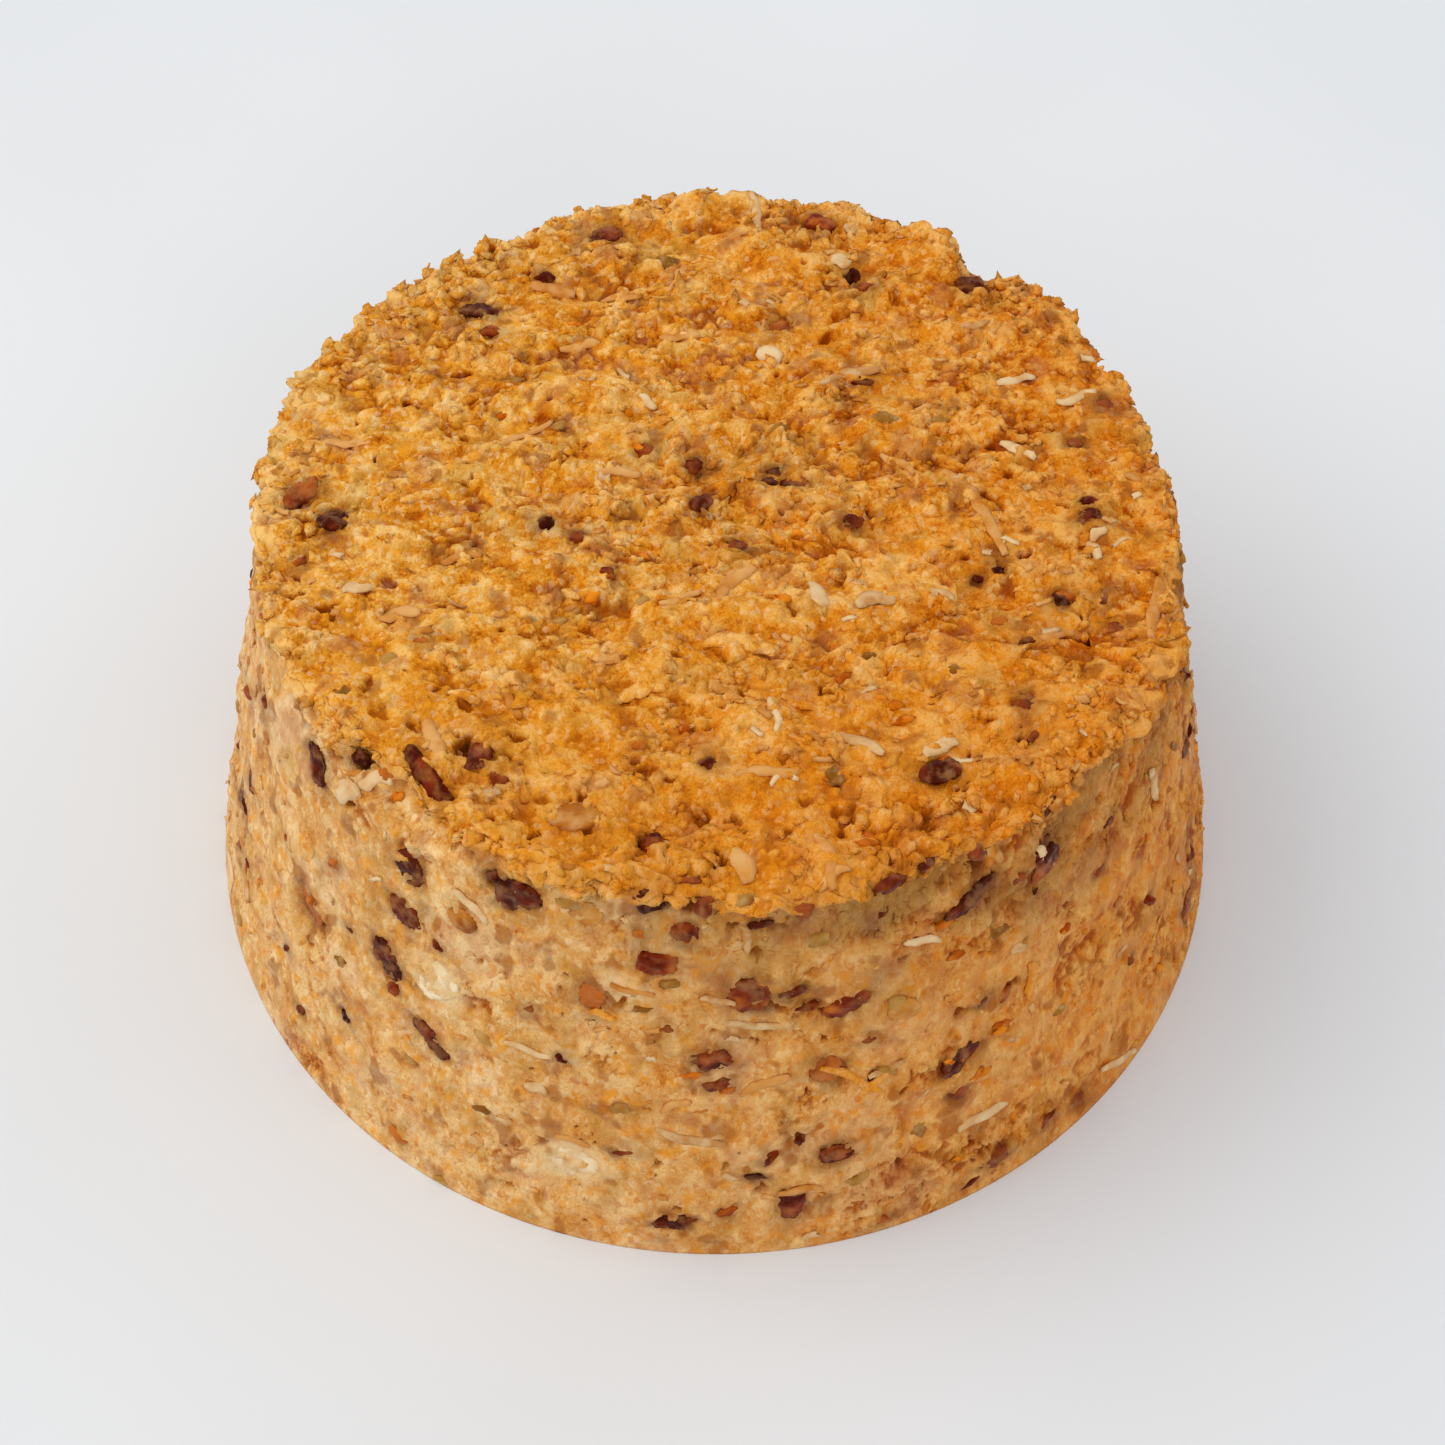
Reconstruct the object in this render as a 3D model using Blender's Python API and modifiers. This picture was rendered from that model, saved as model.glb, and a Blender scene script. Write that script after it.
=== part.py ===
"""A round, moist fruit and nut cake, turned out of a tapered tin onto its wide end.

The crumb is one solid with a torn, streaky top, a ragged rim that is broken away at one side,
smoother walls where it touched the tin, and shreds and flakes fused on. The larger pieces of
fruit and nut that show are solids of their own, each set flush in a pocket of the crumb.

Metres, +Z up. The origin is the middle of the flat base, and the front is -Y.
"""

import math
import random

import bmesh
import bpy
from mathutils import Matrix, Vector, noise

MM = 0.001

# Driving dimensions
BASE_RADIUS = 93.5 * MM
TOP_RADIUS = 77.0 * MM
HEIGHT = 88.0 * MM
TAPER = (BASE_RADIUS - TOP_RADIUS) / HEIGHT

# Relief of the crumb: how far it stands out or lies back, and how wide the lumps are
TOP_RELIEF = 2.2 * MM
SIDE_RELIEF = 1.0 * MM
LUMP = 8.0 * MM
STREAK = 2.0
BASE_EDGE = 7.0 * MM
RIM_WEAR = 1.2 * MM

# Where the rim hangs over the wall, each with its angle, spread in degrees, reach and depth
RIM_LIPS = (
    (-62, 48, 1.6 * MM, 3.5 * MM),
    (-24, 17, 3.2 * MM, 7.0 * MM),
    (62, 6, 2.0 * MM, 3.0 * MM),
    (155, 26, 1.6 * MM, 4.0 * MM),
)

# Where the rim is broken away, each with its angle, spread in degrees and depth
RIM_BREAKS = (
    (-131, 22, 7.5 * MM),
    (52, 7, 4.5 * MM),
    (12, 6, 2.5 * MM),
    (-172, 7, 3.0 * MM),
    (118, 6, 3.0 * MM),
)

# Mesh fineness
VOXEL = 1.7 * MM
BODY_TRIANGLES = 4000
UNDERCUT = 4 * MM
BASE_SNAP = 0.2 * MM
PROBE = 2 * MM

# Fruit and nuts: the gap round each, how its face stands proud, and its depth over its width
GAP = 0.3 * MM
PROUD = 0.4 * MM
DOME = 0.35 * MM
FACE_SHARE = 0.86
DEPTH = 0.42
POCKET_MOUTH = 4 * MM
FRUIT_SIDES = 9

# Fruit and nuts seen on the top: kind, x, y, length, width in mm, and turn in degrees
TOP_FRUIT = (
    ("date", 45, 55, 5.8, 5.6, 8),
    ("raisin", -21, 66, 6.5, 5.0, 20),
    ("raisin", -43, 47, 7.5, 5.0, 15),
    ("raisin", -70.5, 4, 8.5, 4.4, 48),
    ("raisin", -64.5, -2.5, 6.2, 5.0, 30),
    ("date", 18, 70, 6.5, 4.0, -30),
    ("raisin", 11, 45, 5.6, 4.4, 10),
    ("raisin", 13, 8, 6.5, 5.0, 60),
    ("raisin", 63, 0, 6.0, 4.5, 80),
    ("raisin", 49, -38, 5.5, 5.0, 70),
    ("raisin", 35, -51, 7.5, 5.0, 30),
    ("date", -46, -55, 15.0, 4.4, -50),
    ("raisin", -37, -50, 7.0, 4.2, 80),
    ("sultana", -22, -61, 10.5, 6.5, -8),
)

# Fruit and nuts seen on the wall: kind, angle, height, length, width in mm, and turn in degrees
SIDE_FRUIT = (
    ("raisin", -145, 78, 9.0, 5.0, -55),
    ("raisin", -128, 74, 8.0, 6.0, -50),
    ("raisin", -128, 63, 9.0, 5.5, -60),
    ("raisin", -144, 43, 9.0, 4.5, -50),
    ("raisin", -130, 49, 11.0, 5.5, -70),
    ("nut", -122.5, 52, 10.0, 7.5, 70),
    ("raisin", -113, 80.5, 9.5, 8.5, 70),
    ("sultana", -120, 70, 6.5, 5.0, -20),
    ("sultana", -104.5, 81.5, 6.0, 5.5, 0),
    ("raisin", -93, 80.5, 6.0, 5.0, 80),
    ("date", -96, 73, 8.0, 6.0, -5),
    ("raisin", -103.5, 62.5, 7.0, 5.5, 80),
    ("nut", -99, 66, 8.5, 4.5, -5),
    ("raisin", -86, 65.5, 8.5, 8.0, 30),
    ("raisin", -90, 51, 8.0, 6.5, -15),
    ("raisin", -77, 45, 6.5, 6.0, 0),
    ("date", -74.5, 60, 9.0, 5.5, 35),
    ("sultana", -68, 56, 6.0, 5.5, 0),
    ("raisin", -61, 38, 10.5, 5.0, 22),
    ("raisin", -59, 76, 12.0, 4.2, 22),
    ("raisin", -48, 73, 8.0, 7.0, 30),
    ("raisin", -76, 24, 7.5, 4.5, 0),
    ("raisin", -94, 8, 8.0, 4.6, 5),
    ("date", -81, 12, 9.5, 4.8, 80),
    ("nut", -105, 20, 9.5, 8.5, 15),
    ("raisin", -123, 37, 10.0, 4.4, -38),
)

# Holes in the crumb: on the top x, y, and on the wall angle, height, with the width and turn
TOP_HOLES = (
    (-39, -44, 5.5, 2.6, 15),
    (26, 57, 4.5, 3.2, -30),
    (36, 59, 6.0, 3.6, 10),
    (5, -48, 3.0, 2.4, 0),
    (61, 17, 3.5, 3.0, 40),
)
SIDE_HOLES = (
    (-92, 85, 5.5, 3.0, 20),
    (-70.5, 82, 6.0, 3.0, 10),
    (-58, 82, 4.0, 3.0, 30),
    (-80.5, 44, 4.0, 3.0, 0),
    (-58, 50, 5.0, 2.4, 20),
    (-81.5, 29, 4.5, 2.6, 45),
    (-112, 58, 3.4, 2.4, 20),
    (-38, 52, 4.0, 2.6, -20),
    (-64, 30, 3.6, 2.4, 10),
    (-139, 24, 3.4, 2.6, 0),
)
HOLE_DEPTH = 0.9

# Fruit on the wall away from the front, laid out by a rule
BACK_FRUIT_COUNT = 15
BACK_START = -22
BACK_SWEEP = 222
BACK_KINDS = ("raisin", "date", "raisin", "sultana", "raisin")

# Shreds and flakes fused on the top: x, y, length, width in mm, turn and bend in degrees
TOP_SHREDS = (
    (42, 1, 19.0, 2.6, -60, 20),
    (24, -46, 8.8, 2.2, -35, 5),
    (5, -27, 12.0, 3.0, 2, 25),
    (-34, 17, 12.0, 1.8, 27, 8),
    (20, 34.5, 10.0, 2.2, 5, 10),
    (51, 31, 7.0, 2.0, 0, 10),
    (60, 33, 7.5, 2.2, 10, -15),
    (68, -12, 9.0, 2.6, 62, 12),
    (27, -18, 7.0, 3.4, -40, 30),
    (17, -17, 4.6, 3.6, 70, 0),
    (-57, -18, 5.0, 3.0, 0, 0),
    (9, 36, 4.6, 4.0, 40, 0),
    (-60, 17, 9.0, 2.2, 5, 25),
    (-55, 37, 6.0, 2.6, -5, 10),
    (4, -13, 12.0, 2.0, 50, 12),
    (26, -67, 11.0, 2.2, 40, 45),
    (4, -69, 7.5, 4.0, 75, 10),
)

# Shreds and flakes fused on the wall: angle, height, length, width in mm, turn and bend in degrees
SIDE_SHREDS = (
    (-92.5, 35, 12.0, 2.2, -12, 15),
    (-83, 20, 8.5, 2.2, 5, 0),
    (-59, 22, 9.5, 2.8, 25, 10),
    (-85, 57, 12.0, 2.0, 0, 15),
    (-65, 68, 8.0, 2.4, 8, 0),
    (-116, 64, 10.5, 2.2, -45, 10),
    (-110, 45, 11.0, 2.4, -20, 8),
    (-108, 34, 6.0, 3.2, 0, 0),
    (-71, 38, 8.0, 2.2, 55, 10),
)
BACK_SHRED_COUNT = 8
SHRED_THICKNESS = 2.0 * MM
SHRED_CUTS = 2

GOLDEN_ANGLE = 137.508
SEED = 11


def smooth_step(low, high, value):
    """0 below low, 1 above high, and an even slope between them."""
    share = min(1.0, max(0.0, (value - low) / (high - low)))
    return share * share * (3 - 2 * share)


def hump(angle, middle, spread):
    """1 at the middle angle, falling to 0 at spread degrees to either side."""
    away = abs((angle - middle + 180) % 360 - 180)
    return 1 - smooth_step(0, spread, away)


def wall_radius(height):
    """Radius of the tapered wall at a height."""
    return BASE_RADIUS - TAPER * height


def broken_depth(angle):
    """How far the rim is broken away at an angle, measured inwards from the edge and down."""
    return sum(depth * hump(angle, middle, spread) for middle, spread, depth in RIM_BREAKS)


def lip_reach(angle, below_top):
    """How far the rim hangs over the wall at an angle, at a depth below the top."""
    return sum(
        reach * hump(angle, middle, spread) * smooth_step(depth, 0.3 * depth, below_top)
        for middle, spread, reach, depth in RIM_LIPS
    )


def relieved(point, normal):
    """The point of the plain tapered shape moved to where the uneven crumb lies."""
    flat = smooth_step(0.3, 0.8, normal.z)
    streaked = Vector((point.x / STREAK, point.y, point.z)) if flat > 0.5 else point
    lumps = noise.fractal(streaked / LUMP, 1.0, 2.1, 3)
    depth = TOP_RELIEF * flat + SIDE_RELIEF * (1 - flat)
    moved = point + normal * lumps * depth * smooth_step(0, BASE_EDGE, point.z)

    angle = math.degrees(math.atan2(point.y, point.x))
    outwards = Vector((point.x, point.y, 0)).normalized()
    below_top = HEIGHT - moved.z
    from_wall = wall_radius(moved.z) - math.hypot(moved.x, moved.y)
    wear = RIM_WEAR * (1 + noise.noise(point / LUMP * 2)) + broken_depth(angle)
    missing = wear - (max(0.0, from_wall) + max(0.0, below_top))
    if missing > 0:
        moved -= (outwards + Vector((0, 0, 1))) * missing / 2
    ragged = 1 + noise.noise(point / LUMP * 1.7)
    return moved + outwards * lip_reach(angle, below_top) * ragged


def frame_on_crumb(point, normal, along, turn):
    """A frame on the uneven crumb near a point of the plain shape, Z outwards and X turned."""
    across = normal.cross(along)
    ahead = relieved(point + along * PROBE, normal) - relieved(point - along * PROBE, normal)
    aside = relieved(point + across * PROBE, normal) - relieved(point - across * PROBE, normal)
    outward = ahead.cross(aside).normalized()
    level = (ahead - outward * ahead.dot(outward)).normalized()
    axes = Matrix((level, outward.cross(level), outward)).transposed().to_4x4()
    place = Matrix.Translation(relieved(point, normal))
    return place @ axes @ Matrix.Rotation(math.radians(turn), 4, "Z")


def top_frame(x, y, turn):
    """A frame on the top, X along +X before the turn."""
    return frame_on_crumb(Vector((x, y, HEIGHT)), Vector((0, 0, 1)), Vector((1, 0, 0)), turn)


def side_frame(angle, height, turn):
    """A frame on the wall, X level round the wall before the turn."""
    across = math.radians(angle)
    radius = wall_radius(height)
    point = Vector((radius * math.cos(across), radius * math.sin(across), height))
    normal = Vector((math.cos(across), math.sin(across), TAPER)).normalized()
    return frame_on_crumb(point, normal, Vector((-math.sin(across), math.cos(across), 0)), turn)


def material(name, hex_colour, roughness, translucency=0.0):
    """A plain Principled material in an sRGB hex colour."""
    made = bpy.data.materials.new(name)
    made.use_nodes = True
    shader = made.node_tree.nodes["Principled BSDF"]
    channels = [int(hex_colour[i : i + 2], 16) / 255 for i in (0, 2, 4)]
    linear = [c / 12.92 if c <= 0.04045 else ((c + 0.055) / 1.055) ** 2.4 for c in channels]
    shader.inputs["Base Color"].default_value = (*linear, 1)
    shader.inputs["Roughness"].default_value = roughness
    shader.inputs["Metallic"].default_value = 0.0
    shader.inputs["Subsurface Weight"].default_value = translucency
    return made


def collection(name):
    """A new collection in the scene."""
    made = bpy.data.collections.new(name)
    bpy.context.scene.collection.children.link(made)
    return made


def object_from(shape, name, into):
    """A bmesh made into a named object in a collection."""
    mesh = bpy.data.meshes.new(name)
    shape.to_mesh(mesh)
    shape.free()
    made = bpy.data.objects.new(name, mesh)
    into.objects.link(made)
    return made


def apply_modifiers(owner):
    """Puts the modified shape into the object's own mesh."""
    graph = bpy.context.evaluated_depsgraph_get()
    finished = bpy.data.meshes.new_from_object(owner.evaluated_get(graph))
    owner.modifiers.clear()
    owner.data = finished


def crumb_body(into):
    """The tapered cake with its relief, thinned to few triangles and cut flat underneath."""
    shape = bmesh.new()
    bmesh.ops.create_cone(
        shape,
        cap_ends=True,
        segments=160,
        radius1=wall_radius(-UNDERCUT),
        radius2=TOP_RADIUS,
        depth=HEIGHT + UNDERCUT,
        matrix=Matrix.Translation((0, 0, (HEIGHT - UNDERCUT) / 2)),
    )
    body = object_from(shape, "cake", into)
    even = body.modifiers.new("Even mesh", "REMESH")
    even.mode = "VOXEL"
    even.voxel_size = VOXEL
    apply_modifiers(body)

    shape = bmesh.new()
    shape.from_mesh(body.data)
    shape.normal_update()
    places = [(vert, relieved(vert.co.copy(), vert.normal.copy())) for vert in shape.verts]
    for vert, place in places:
        vert.co = place
    bmesh.ops.triangulate(shape, faces=shape.faces[:])
    triangles = len(shape.faces)
    shape.to_mesh(body.data)
    shape.free()

    thin = body.modifiers.new("Fewer triangles", "DECIMATE")
    thin.ratio = BODY_TRIANGLES / triangles
    apply_modifiers(body)

    # The base is cut last, so that nothing moves it and it stays one flat face
    shape = bmesh.new()
    shape.from_mesh(body.data)
    everything = shape.verts[:] + shape.edges[:] + shape.faces[:]
    bmesh.ops.bisect_plane(
        shape, geom=everything, dist=BASE_SNAP, plane_no=(0, 0, -1), clear_outer=True
    )
    rim = [edge for edge in shape.edges if edge.is_boundary]
    for vert in {vert for edge in rim for vert in edge.verts}:
        vert.co.z = 0
    bmesh.ops.contextual_create(shape, geom=rim)
    bmesh.ops.recalc_face_normals(shape, faces=shape.faces[:])
    bmesh.ops.triangulate(shape, faces=shape.faces[:])
    shape.to_mesh(body.data)
    shape.free()
    return body


def fruit_shape(kind, length, width, grow, rise, narrowing, chance):
    """The buried half of a raisin, sultana, date piece or nut, lying along X, with its open face
    raised above the crumb along Z."""
    shape = bmesh.new()
    if kind == "date":
        bmesh.ops.create_cube(shape, size=1.8)
        bmesh.ops.bevel(
            shape,
            geom=shape.edges[:],
            offset=0.35,
            segments=1,
            profile=0.5,
            affect="EDGES",
            material=-1,
        )
    else:
        bmesh.ops.create_uvsphere(shape, u_segments=FRUIT_SIDES, v_segments=4, radius=1)
    bmesh.ops.triangulate(shape, faces=shape.faces[:])
    wrinkle = 0.1 if kind == "nut" else 0.18
    offset = Vector([chance.uniform(-9, 9) for _ in range(3)])
    half = Vector((length / 2 + grow, width / 2 + grow, DEPTH * width + grow))
    for vert in shape.verts:
        vert.co *= 1 + wrinkle * noise.noise(vert.co * 1.3 + offset)
        vert.co = Vector(a * b for a, b in zip(vert.co, half))

    everything = shape.verts[:] + shape.edges[:] + shape.faces[:]
    cut = bmesh.ops.bisect_plane(shape, geom=everything, plane_no=(0, 0, 1), clear_outer=True)
    rim = [e for e in cut["geom_cut"] if isinstance(e, bmesh.types.BMEdge)]
    lifted = bmesh.ops.extrude_edge_only(shape, edges=rim)["geom"]
    raised = [v for v in lifted if isinstance(v, bmesh.types.BMVert)]
    bmesh.ops.scale(shape, verts=raised, vec=(narrowing, narrowing, 1))
    bmesh.ops.translate(shape, verts=raised, vec=(0, 0, rise))
    bmesh.ops.contextual_create(shape, geom=[e for e in lifted if isinstance(e, bmesh.types.BMEdge)])
    bmesh.ops.recalc_face_normals(shape, faces=shape.faces[:])
    return shape


def place_fruit(name, kind, frame, length, width, fruit, pockets, chance):
    """One piece of fruit, flat where it lay against the tin or the knife, and its pocket."""
    state = chance.getstate()
    shape = fruit_shape(kind, length, width, 0, PROUD, FACE_SHARE, chance)
    outer = max(shape.faces, key=lambda face: face.calc_center_median().z)
    dome = 0 if kind == "nut" else DOME
    bmesh.ops.poke(shape, faces=[outer], offset=dome)
    bmesh.ops.triangulate(shape, faces=shape.faces[:])
    piece = object_from(shape, name, fruit)
    piece.matrix_world = frame
    piece.data.materials.append(bpy.data.materials[kind])
    piece.data.shade_smooth()
    piece.data.set_sharp_from_angle(angle=math.radians(50))

    chance.setstate(state)
    shape = fruit_shape(kind, length, width, GAP, POCKET_MOUTH, 1, chance)
    cutter(shape, name + "_pocket", frame, pockets)


def cutter(shape, name, frame, into):
    """A shape to cut from the crumb, kept out of the render."""
    made = object_from(shape, name, into)
    made.matrix_world = frame
    made.display_type = "WIRE"
    made.hide_render = True


def hole(frame, length, width, into, chance):
    """A small torn hole in the crumb."""
    shape = bmesh.new()
    bmesh.ops.create_icosphere(shape, subdivisions=1, radius=1)
    for vert in shape.verts:
        vert.co *= 1 + chance.uniform(-0.15, 0.15)
        vert.co = Vector((vert.co.x * length, vert.co.y * width, vert.co.z * width * HOLE_DEPTH * 2)) / 2
    cutter(shape, "hole", frame, into)


def shred(frame, length, width, bend, into):
    """A grated strip or flake, bent sideways, lying half in the crumb."""
    shape = bmesh.new()
    bmesh.ops.create_cube(shape, size=1)
    ends = [e for e in shape.edges if abs(e.verts[0].co.x - e.verts[1].co.x) > 0.5]
    bmesh.ops.subdivide_edges(shape, edges=ends, cuts=SHRED_CUTS, use_grid_fill=True)
    bow = math.radians(bend) * length / 4
    for vert in shape.verts:
        along = vert.co.x * 2
        narrowing = 1 - 0.35 * along * along
        vert.co = Vector(
            (
                vert.co.x * length,
                vert.co.y * width * narrowing + bow * (1 - along * along),
                vert.co.z * SHRED_THICKNESS * narrowing,
            )
        )
    piece = object_from(shape, "shred", into)
    piece.matrix_world = frame


def back_places(count, chance):
    """Angles and heights spread evenly over the wall away from the front."""
    for index in range(count):
        angle = BACK_START + BACK_SWEEP * (index + 0.5) / count
        share = (index * GOLDEN_ANGLE / 360) % 1
        height = HEIGHT * (0.12 + 0.74 * share)
        yield angle + chance.uniform(-3, 3), height


def set_fruit(fruit, pockets, chance):
    """Every piece of fruit and nut, numbered within its kind, with its pocket."""
    numbers = {}

    def name_of(kind):
        numbers[kind] = numbers.get(kind, 0) + 1
        return f"{kind}_{numbers[kind]:02d}"

    for kind, x, y, length, width, turn in TOP_FRUIT:
        frame = top_frame(x * MM, y * MM, turn)
        place_fruit(name_of(kind), kind, frame, length * MM, width * MM, fruit, pockets, chance)
    for kind, angle, height, length, width, turn in SIDE_FRUIT:
        frame = side_frame(angle, height * MM, turn)
        place_fruit(name_of(kind), kind, frame, length * MM, width * MM, fruit, pockets, chance)
    for index, (angle, height) in enumerate(back_places(BACK_FRUIT_COUNT, chance)):
        kind = BACK_KINDS[index % len(BACK_KINDS)]
        frame = side_frame(angle, height, chance.uniform(-60, 60))
        length = chance.uniform(7, 10) * MM
        width = chance.uniform(4.6, 6) * MM
        place_fruit(name_of(kind), kind, frame, length, width, fruit, pockets, chance)


def set_holes(pockets, chance):
    """Every hole in the crumb."""
    for x, y, length, width, turn in TOP_HOLES:
        hole(top_frame(x * MM, y * MM, turn), length * MM, width * MM, pockets, chance)
    for angle, height, length, width, turn in SIDE_HOLES:
        hole(side_frame(angle, height * MM, turn), length * MM, width * MM, pockets, chance)


def set_shreds(shreds, chance):
    """Every shred and flake, before they are fused to the crumb."""
    for x, y, length, width, turn, bend in TOP_SHREDS:
        shred(top_frame(x * MM, y * MM, turn), length * MM, width * MM, bend, shreds)
    for angle, height, length, width, turn, bend in SIDE_SHREDS:
        shred(side_frame(angle, height * MM, turn), length * MM, width * MM, bend, shreds)
    for angle, height in back_places(BACK_SHRED_COUNT, chance):
        frame = side_frame(angle + BACK_SWEEP / BACK_FRUIT_COUNT / 2, height, chance.uniform(-30, 30))
        shred(frame, chance.uniform(7, 12) * MM, 2.2 * MM, chance.uniform(-15, 15), shreds)


def combine(body, others, operation):
    """Fuses or cuts a whole collection with the body, and removes what was used."""
    joint = body.modifiers.new(operation.title(), "BOOLEAN")
    joint.operand_type = "COLLECTION"
    joint.collection = others
    joint.operation = operation
    joint.solver = "EXACT"
    apply_modifiers(body)
    for used in others.objects[:]:
        bpy.data.objects.remove(used)
    bpy.data.collections.remove(others)


def drop_loose_crumbs(body):
    """Deletes any crumb that the pockets cut free, so that the body is one piece."""
    shape = bmesh.new()
    shape.from_mesh(body.data)
    unseen = set(shape.verts)
    islands = []
    while unseen:
        island, edge = set(), [unseen.pop()]
        while edge:
            vert = edge.pop()
            island.add(vert)
            near = {e.other_vert(vert) for e in vert.link_edges} & unseen
            unseen -= near
            edge.extend(near)
        islands.append(island)
    islands.sort(key=len)
    loose = [vert for island in islands[:-1] for vert in island]
    bmesh.ops.delete(shape, geom=loose, context="VERTS")
    shape.to_mesh(body.data)
    shape.free()


def build():
    """The whole cake."""
    for leftover in bpy.data.objects[:]:
        bpy.data.objects.remove(leftover)
    chance = random.Random(SEED)
    cake = collection("fruit_cake")
    pockets = collection("pockets")
    shreds = collection("shreds")
    material("crumb", "cd8c42", 0.75, 0.1)
    material("raisin", "4a241f", 0.45)
    material("date", "6e2a18", 0.35)
    material("sultana", "a5682c", 0.4, 0.1)
    material("nut", "e3cb98", 0.6, 0.1)

    body = crumb_body(cake)
    set_fruit(cake, pockets, chance)
    set_holes(pockets, chance)
    set_shreds(shreds, chance)
    bpy.context.view_layer.update()
    combine(body, shreds, "UNION")
    combine(body, pockets, "DIFFERENCE")
    drop_loose_crumbs(body)
    body.data.materials.clear()
    body.data.materials.append(bpy.data.materials["crumb"])


build()
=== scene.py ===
import itertools
import math
import random

import bmesh
import bpy
import numpy as np
from mathutils import Matrix, Vector, noise
from mathutils.bvhtree import BVHTree
from mathutils.kdtree import KDTree


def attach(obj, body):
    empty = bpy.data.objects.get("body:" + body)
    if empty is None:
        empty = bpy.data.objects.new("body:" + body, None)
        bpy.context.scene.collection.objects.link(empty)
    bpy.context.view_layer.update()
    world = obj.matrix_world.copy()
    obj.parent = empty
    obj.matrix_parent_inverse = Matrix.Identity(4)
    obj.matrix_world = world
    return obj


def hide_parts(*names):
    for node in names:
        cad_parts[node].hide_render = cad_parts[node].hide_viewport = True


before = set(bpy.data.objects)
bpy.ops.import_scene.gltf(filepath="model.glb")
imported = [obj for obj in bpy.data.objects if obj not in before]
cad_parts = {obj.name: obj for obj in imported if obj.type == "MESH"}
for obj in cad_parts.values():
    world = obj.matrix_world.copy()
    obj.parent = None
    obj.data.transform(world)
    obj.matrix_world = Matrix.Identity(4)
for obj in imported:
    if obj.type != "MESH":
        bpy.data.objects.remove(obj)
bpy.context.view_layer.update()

SEED = 7
chance = random.Random(SEED)
noise.seed_set(SEED)
MM = 0.001


# The view: the cake from the front and well above, as seen through a short telephoto lens that
# is turned by less than a degree. Small pieces further down are placed along its lines of sight.
PICTURE = 1445
FOCAL = 3000
ELEVATION = math.radians(53.87)
ROLL = math.radians(0.694)
EYE_DISTANCE = 589.15 * MM
AIM = Vector((1.26, 21.0, 0)) * MM

ahead = Vector((0, math.cos(ELEVATION), -math.sin(ELEVATION)))
level_up = Vector((1, 0, 0)).cross(ahead)
view_right = Vector((1, 0, 0)) * math.cos(ROLL) + level_up * math.sin(ROLL)
view_up = level_up * math.cos(ROLL) - Vector((1, 0, 0)) * math.sin(ROLL)
eye = AIM - ahead * EYE_DISTANCE

camera = bpy.data.objects.new("camera", bpy.data.cameras.new("camera"))
camera.data.sensor_width = 36
camera.data.lens = 36 * FOCAL / PICTURE
view_axes = Matrix((view_right, view_up, -ahead)).transposed().to_4x4()
camera.matrix_world = Matrix.Translation(eye) @ view_axes
bpy.context.scene.collection.objects.link(camera)
bpy.context.scene.camera = camera
bpy.context.scene.view_settings.view_transform = "Standard"


def line_of_sight(across, down):
    """The direction from the eye through a point of the picture."""
    half = PICTURE / 2
    sideways = view_right * (across - half) / FOCAL
    downwards = view_up * (down - half) / FOCAL
    return (ahead + sideways - downwards).normalized()


# The table top: matte white paper, lit by a wide window behind and to the left, with a paler fill
# from the room, so that shadows are faint and soft.
def linear(hex_colour):
    """An sRGB hex colour as linear RGBA."""
    channels = [int(hex_colour[i : i + 2], 16) / 255 for i in (0, 2, 4)]
    return [c / 12.92 if c <= 0.04045 else ((c + 0.055) / 1.055) ** 2.4 for c in channels] + [1.0]


def add_node(tree, kind, inputs=None, stops=None, **settings):
    """Adds a node. An input is a value or the socket that feeds it; stops are a ramp's colours."""
    made = tree.nodes.new(kind)
    for name, value in settings.items():
        setattr(made, name, value)
    for name, value in (inputs or {}).items():
        if isinstance(value, bpy.types.NodeSocket):
            tree.links.new(value, made.inputs[name])
        else:
            made.inputs[name].default_value = value
    for index, (place, hex_colour) in enumerate(stops or ()):
        elements = made.color_ramp.elements
        stop = elements[index] if index < 2 else elements.new(place)
        stop.position = place
        stop.color = linear(hex_colour)
    return made


def new_finish(name):
    """A material with an empty Principled shader, its node tree and its object coordinates."""
    finish = bpy.data.materials.new(name)
    finish.use_nodes = True
    tree = finish.node_tree
    shader = tree.nodes["Principled BSDF"]
    return finish, tree, shader, add_node(tree, "ShaderNodeTexCoord").outputs["Object"]


def new_piece(mesh, name, finish):
    """A mesh as a piece of the scene, with its finish."""
    mesh.materials.append(finish)
    piece = bpy.data.objects.new(name, mesh)
    bpy.context.scene.collection.objects.link(piece)
    return piece


def piece_from(shape, name, finish):
    """A bmesh made into a smooth-shaded piece with its finish."""
    mesh = bpy.data.meshes.new(name)
    shape.to_mesh(mesh)
    shape.free()
    mesh.shade_smooth()
    return new_piece(mesh, name, finish)


paper, tree, shader, here = new_finish("matte_white_paper")
speckle = add_node(tree, "ShaderNodeTexNoise", {"Vector": here, "Scale": 6.0, "Detail": 2.0})
tone = add_node(
    tree, "ShaderNodeValToRGB", {0: speckle.outputs[0]}, stops=[(0.3, "dfdfde"), (0.7, "e5e5e4")]
)
tree.links.new(tone.outputs[0], shader.inputs["Base Color"])
shader.inputs["Roughness"].default_value = 0.9

shape = bmesh.new()
bmesh.ops.create_grid(shape, x_segments=8, y_segments=8, size=3)
table = piece_from(shape, "table_top", paper)

world = bpy.data.worlds.new("room")
world.use_nodes = True
world.node_tree.nodes["Background"].inputs["Color"].default_value = linear("eef3fa")
world.node_tree.nodes["Background"].inputs["Strength"].default_value = 0.9
bpy.context.scene.world = world

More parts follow.
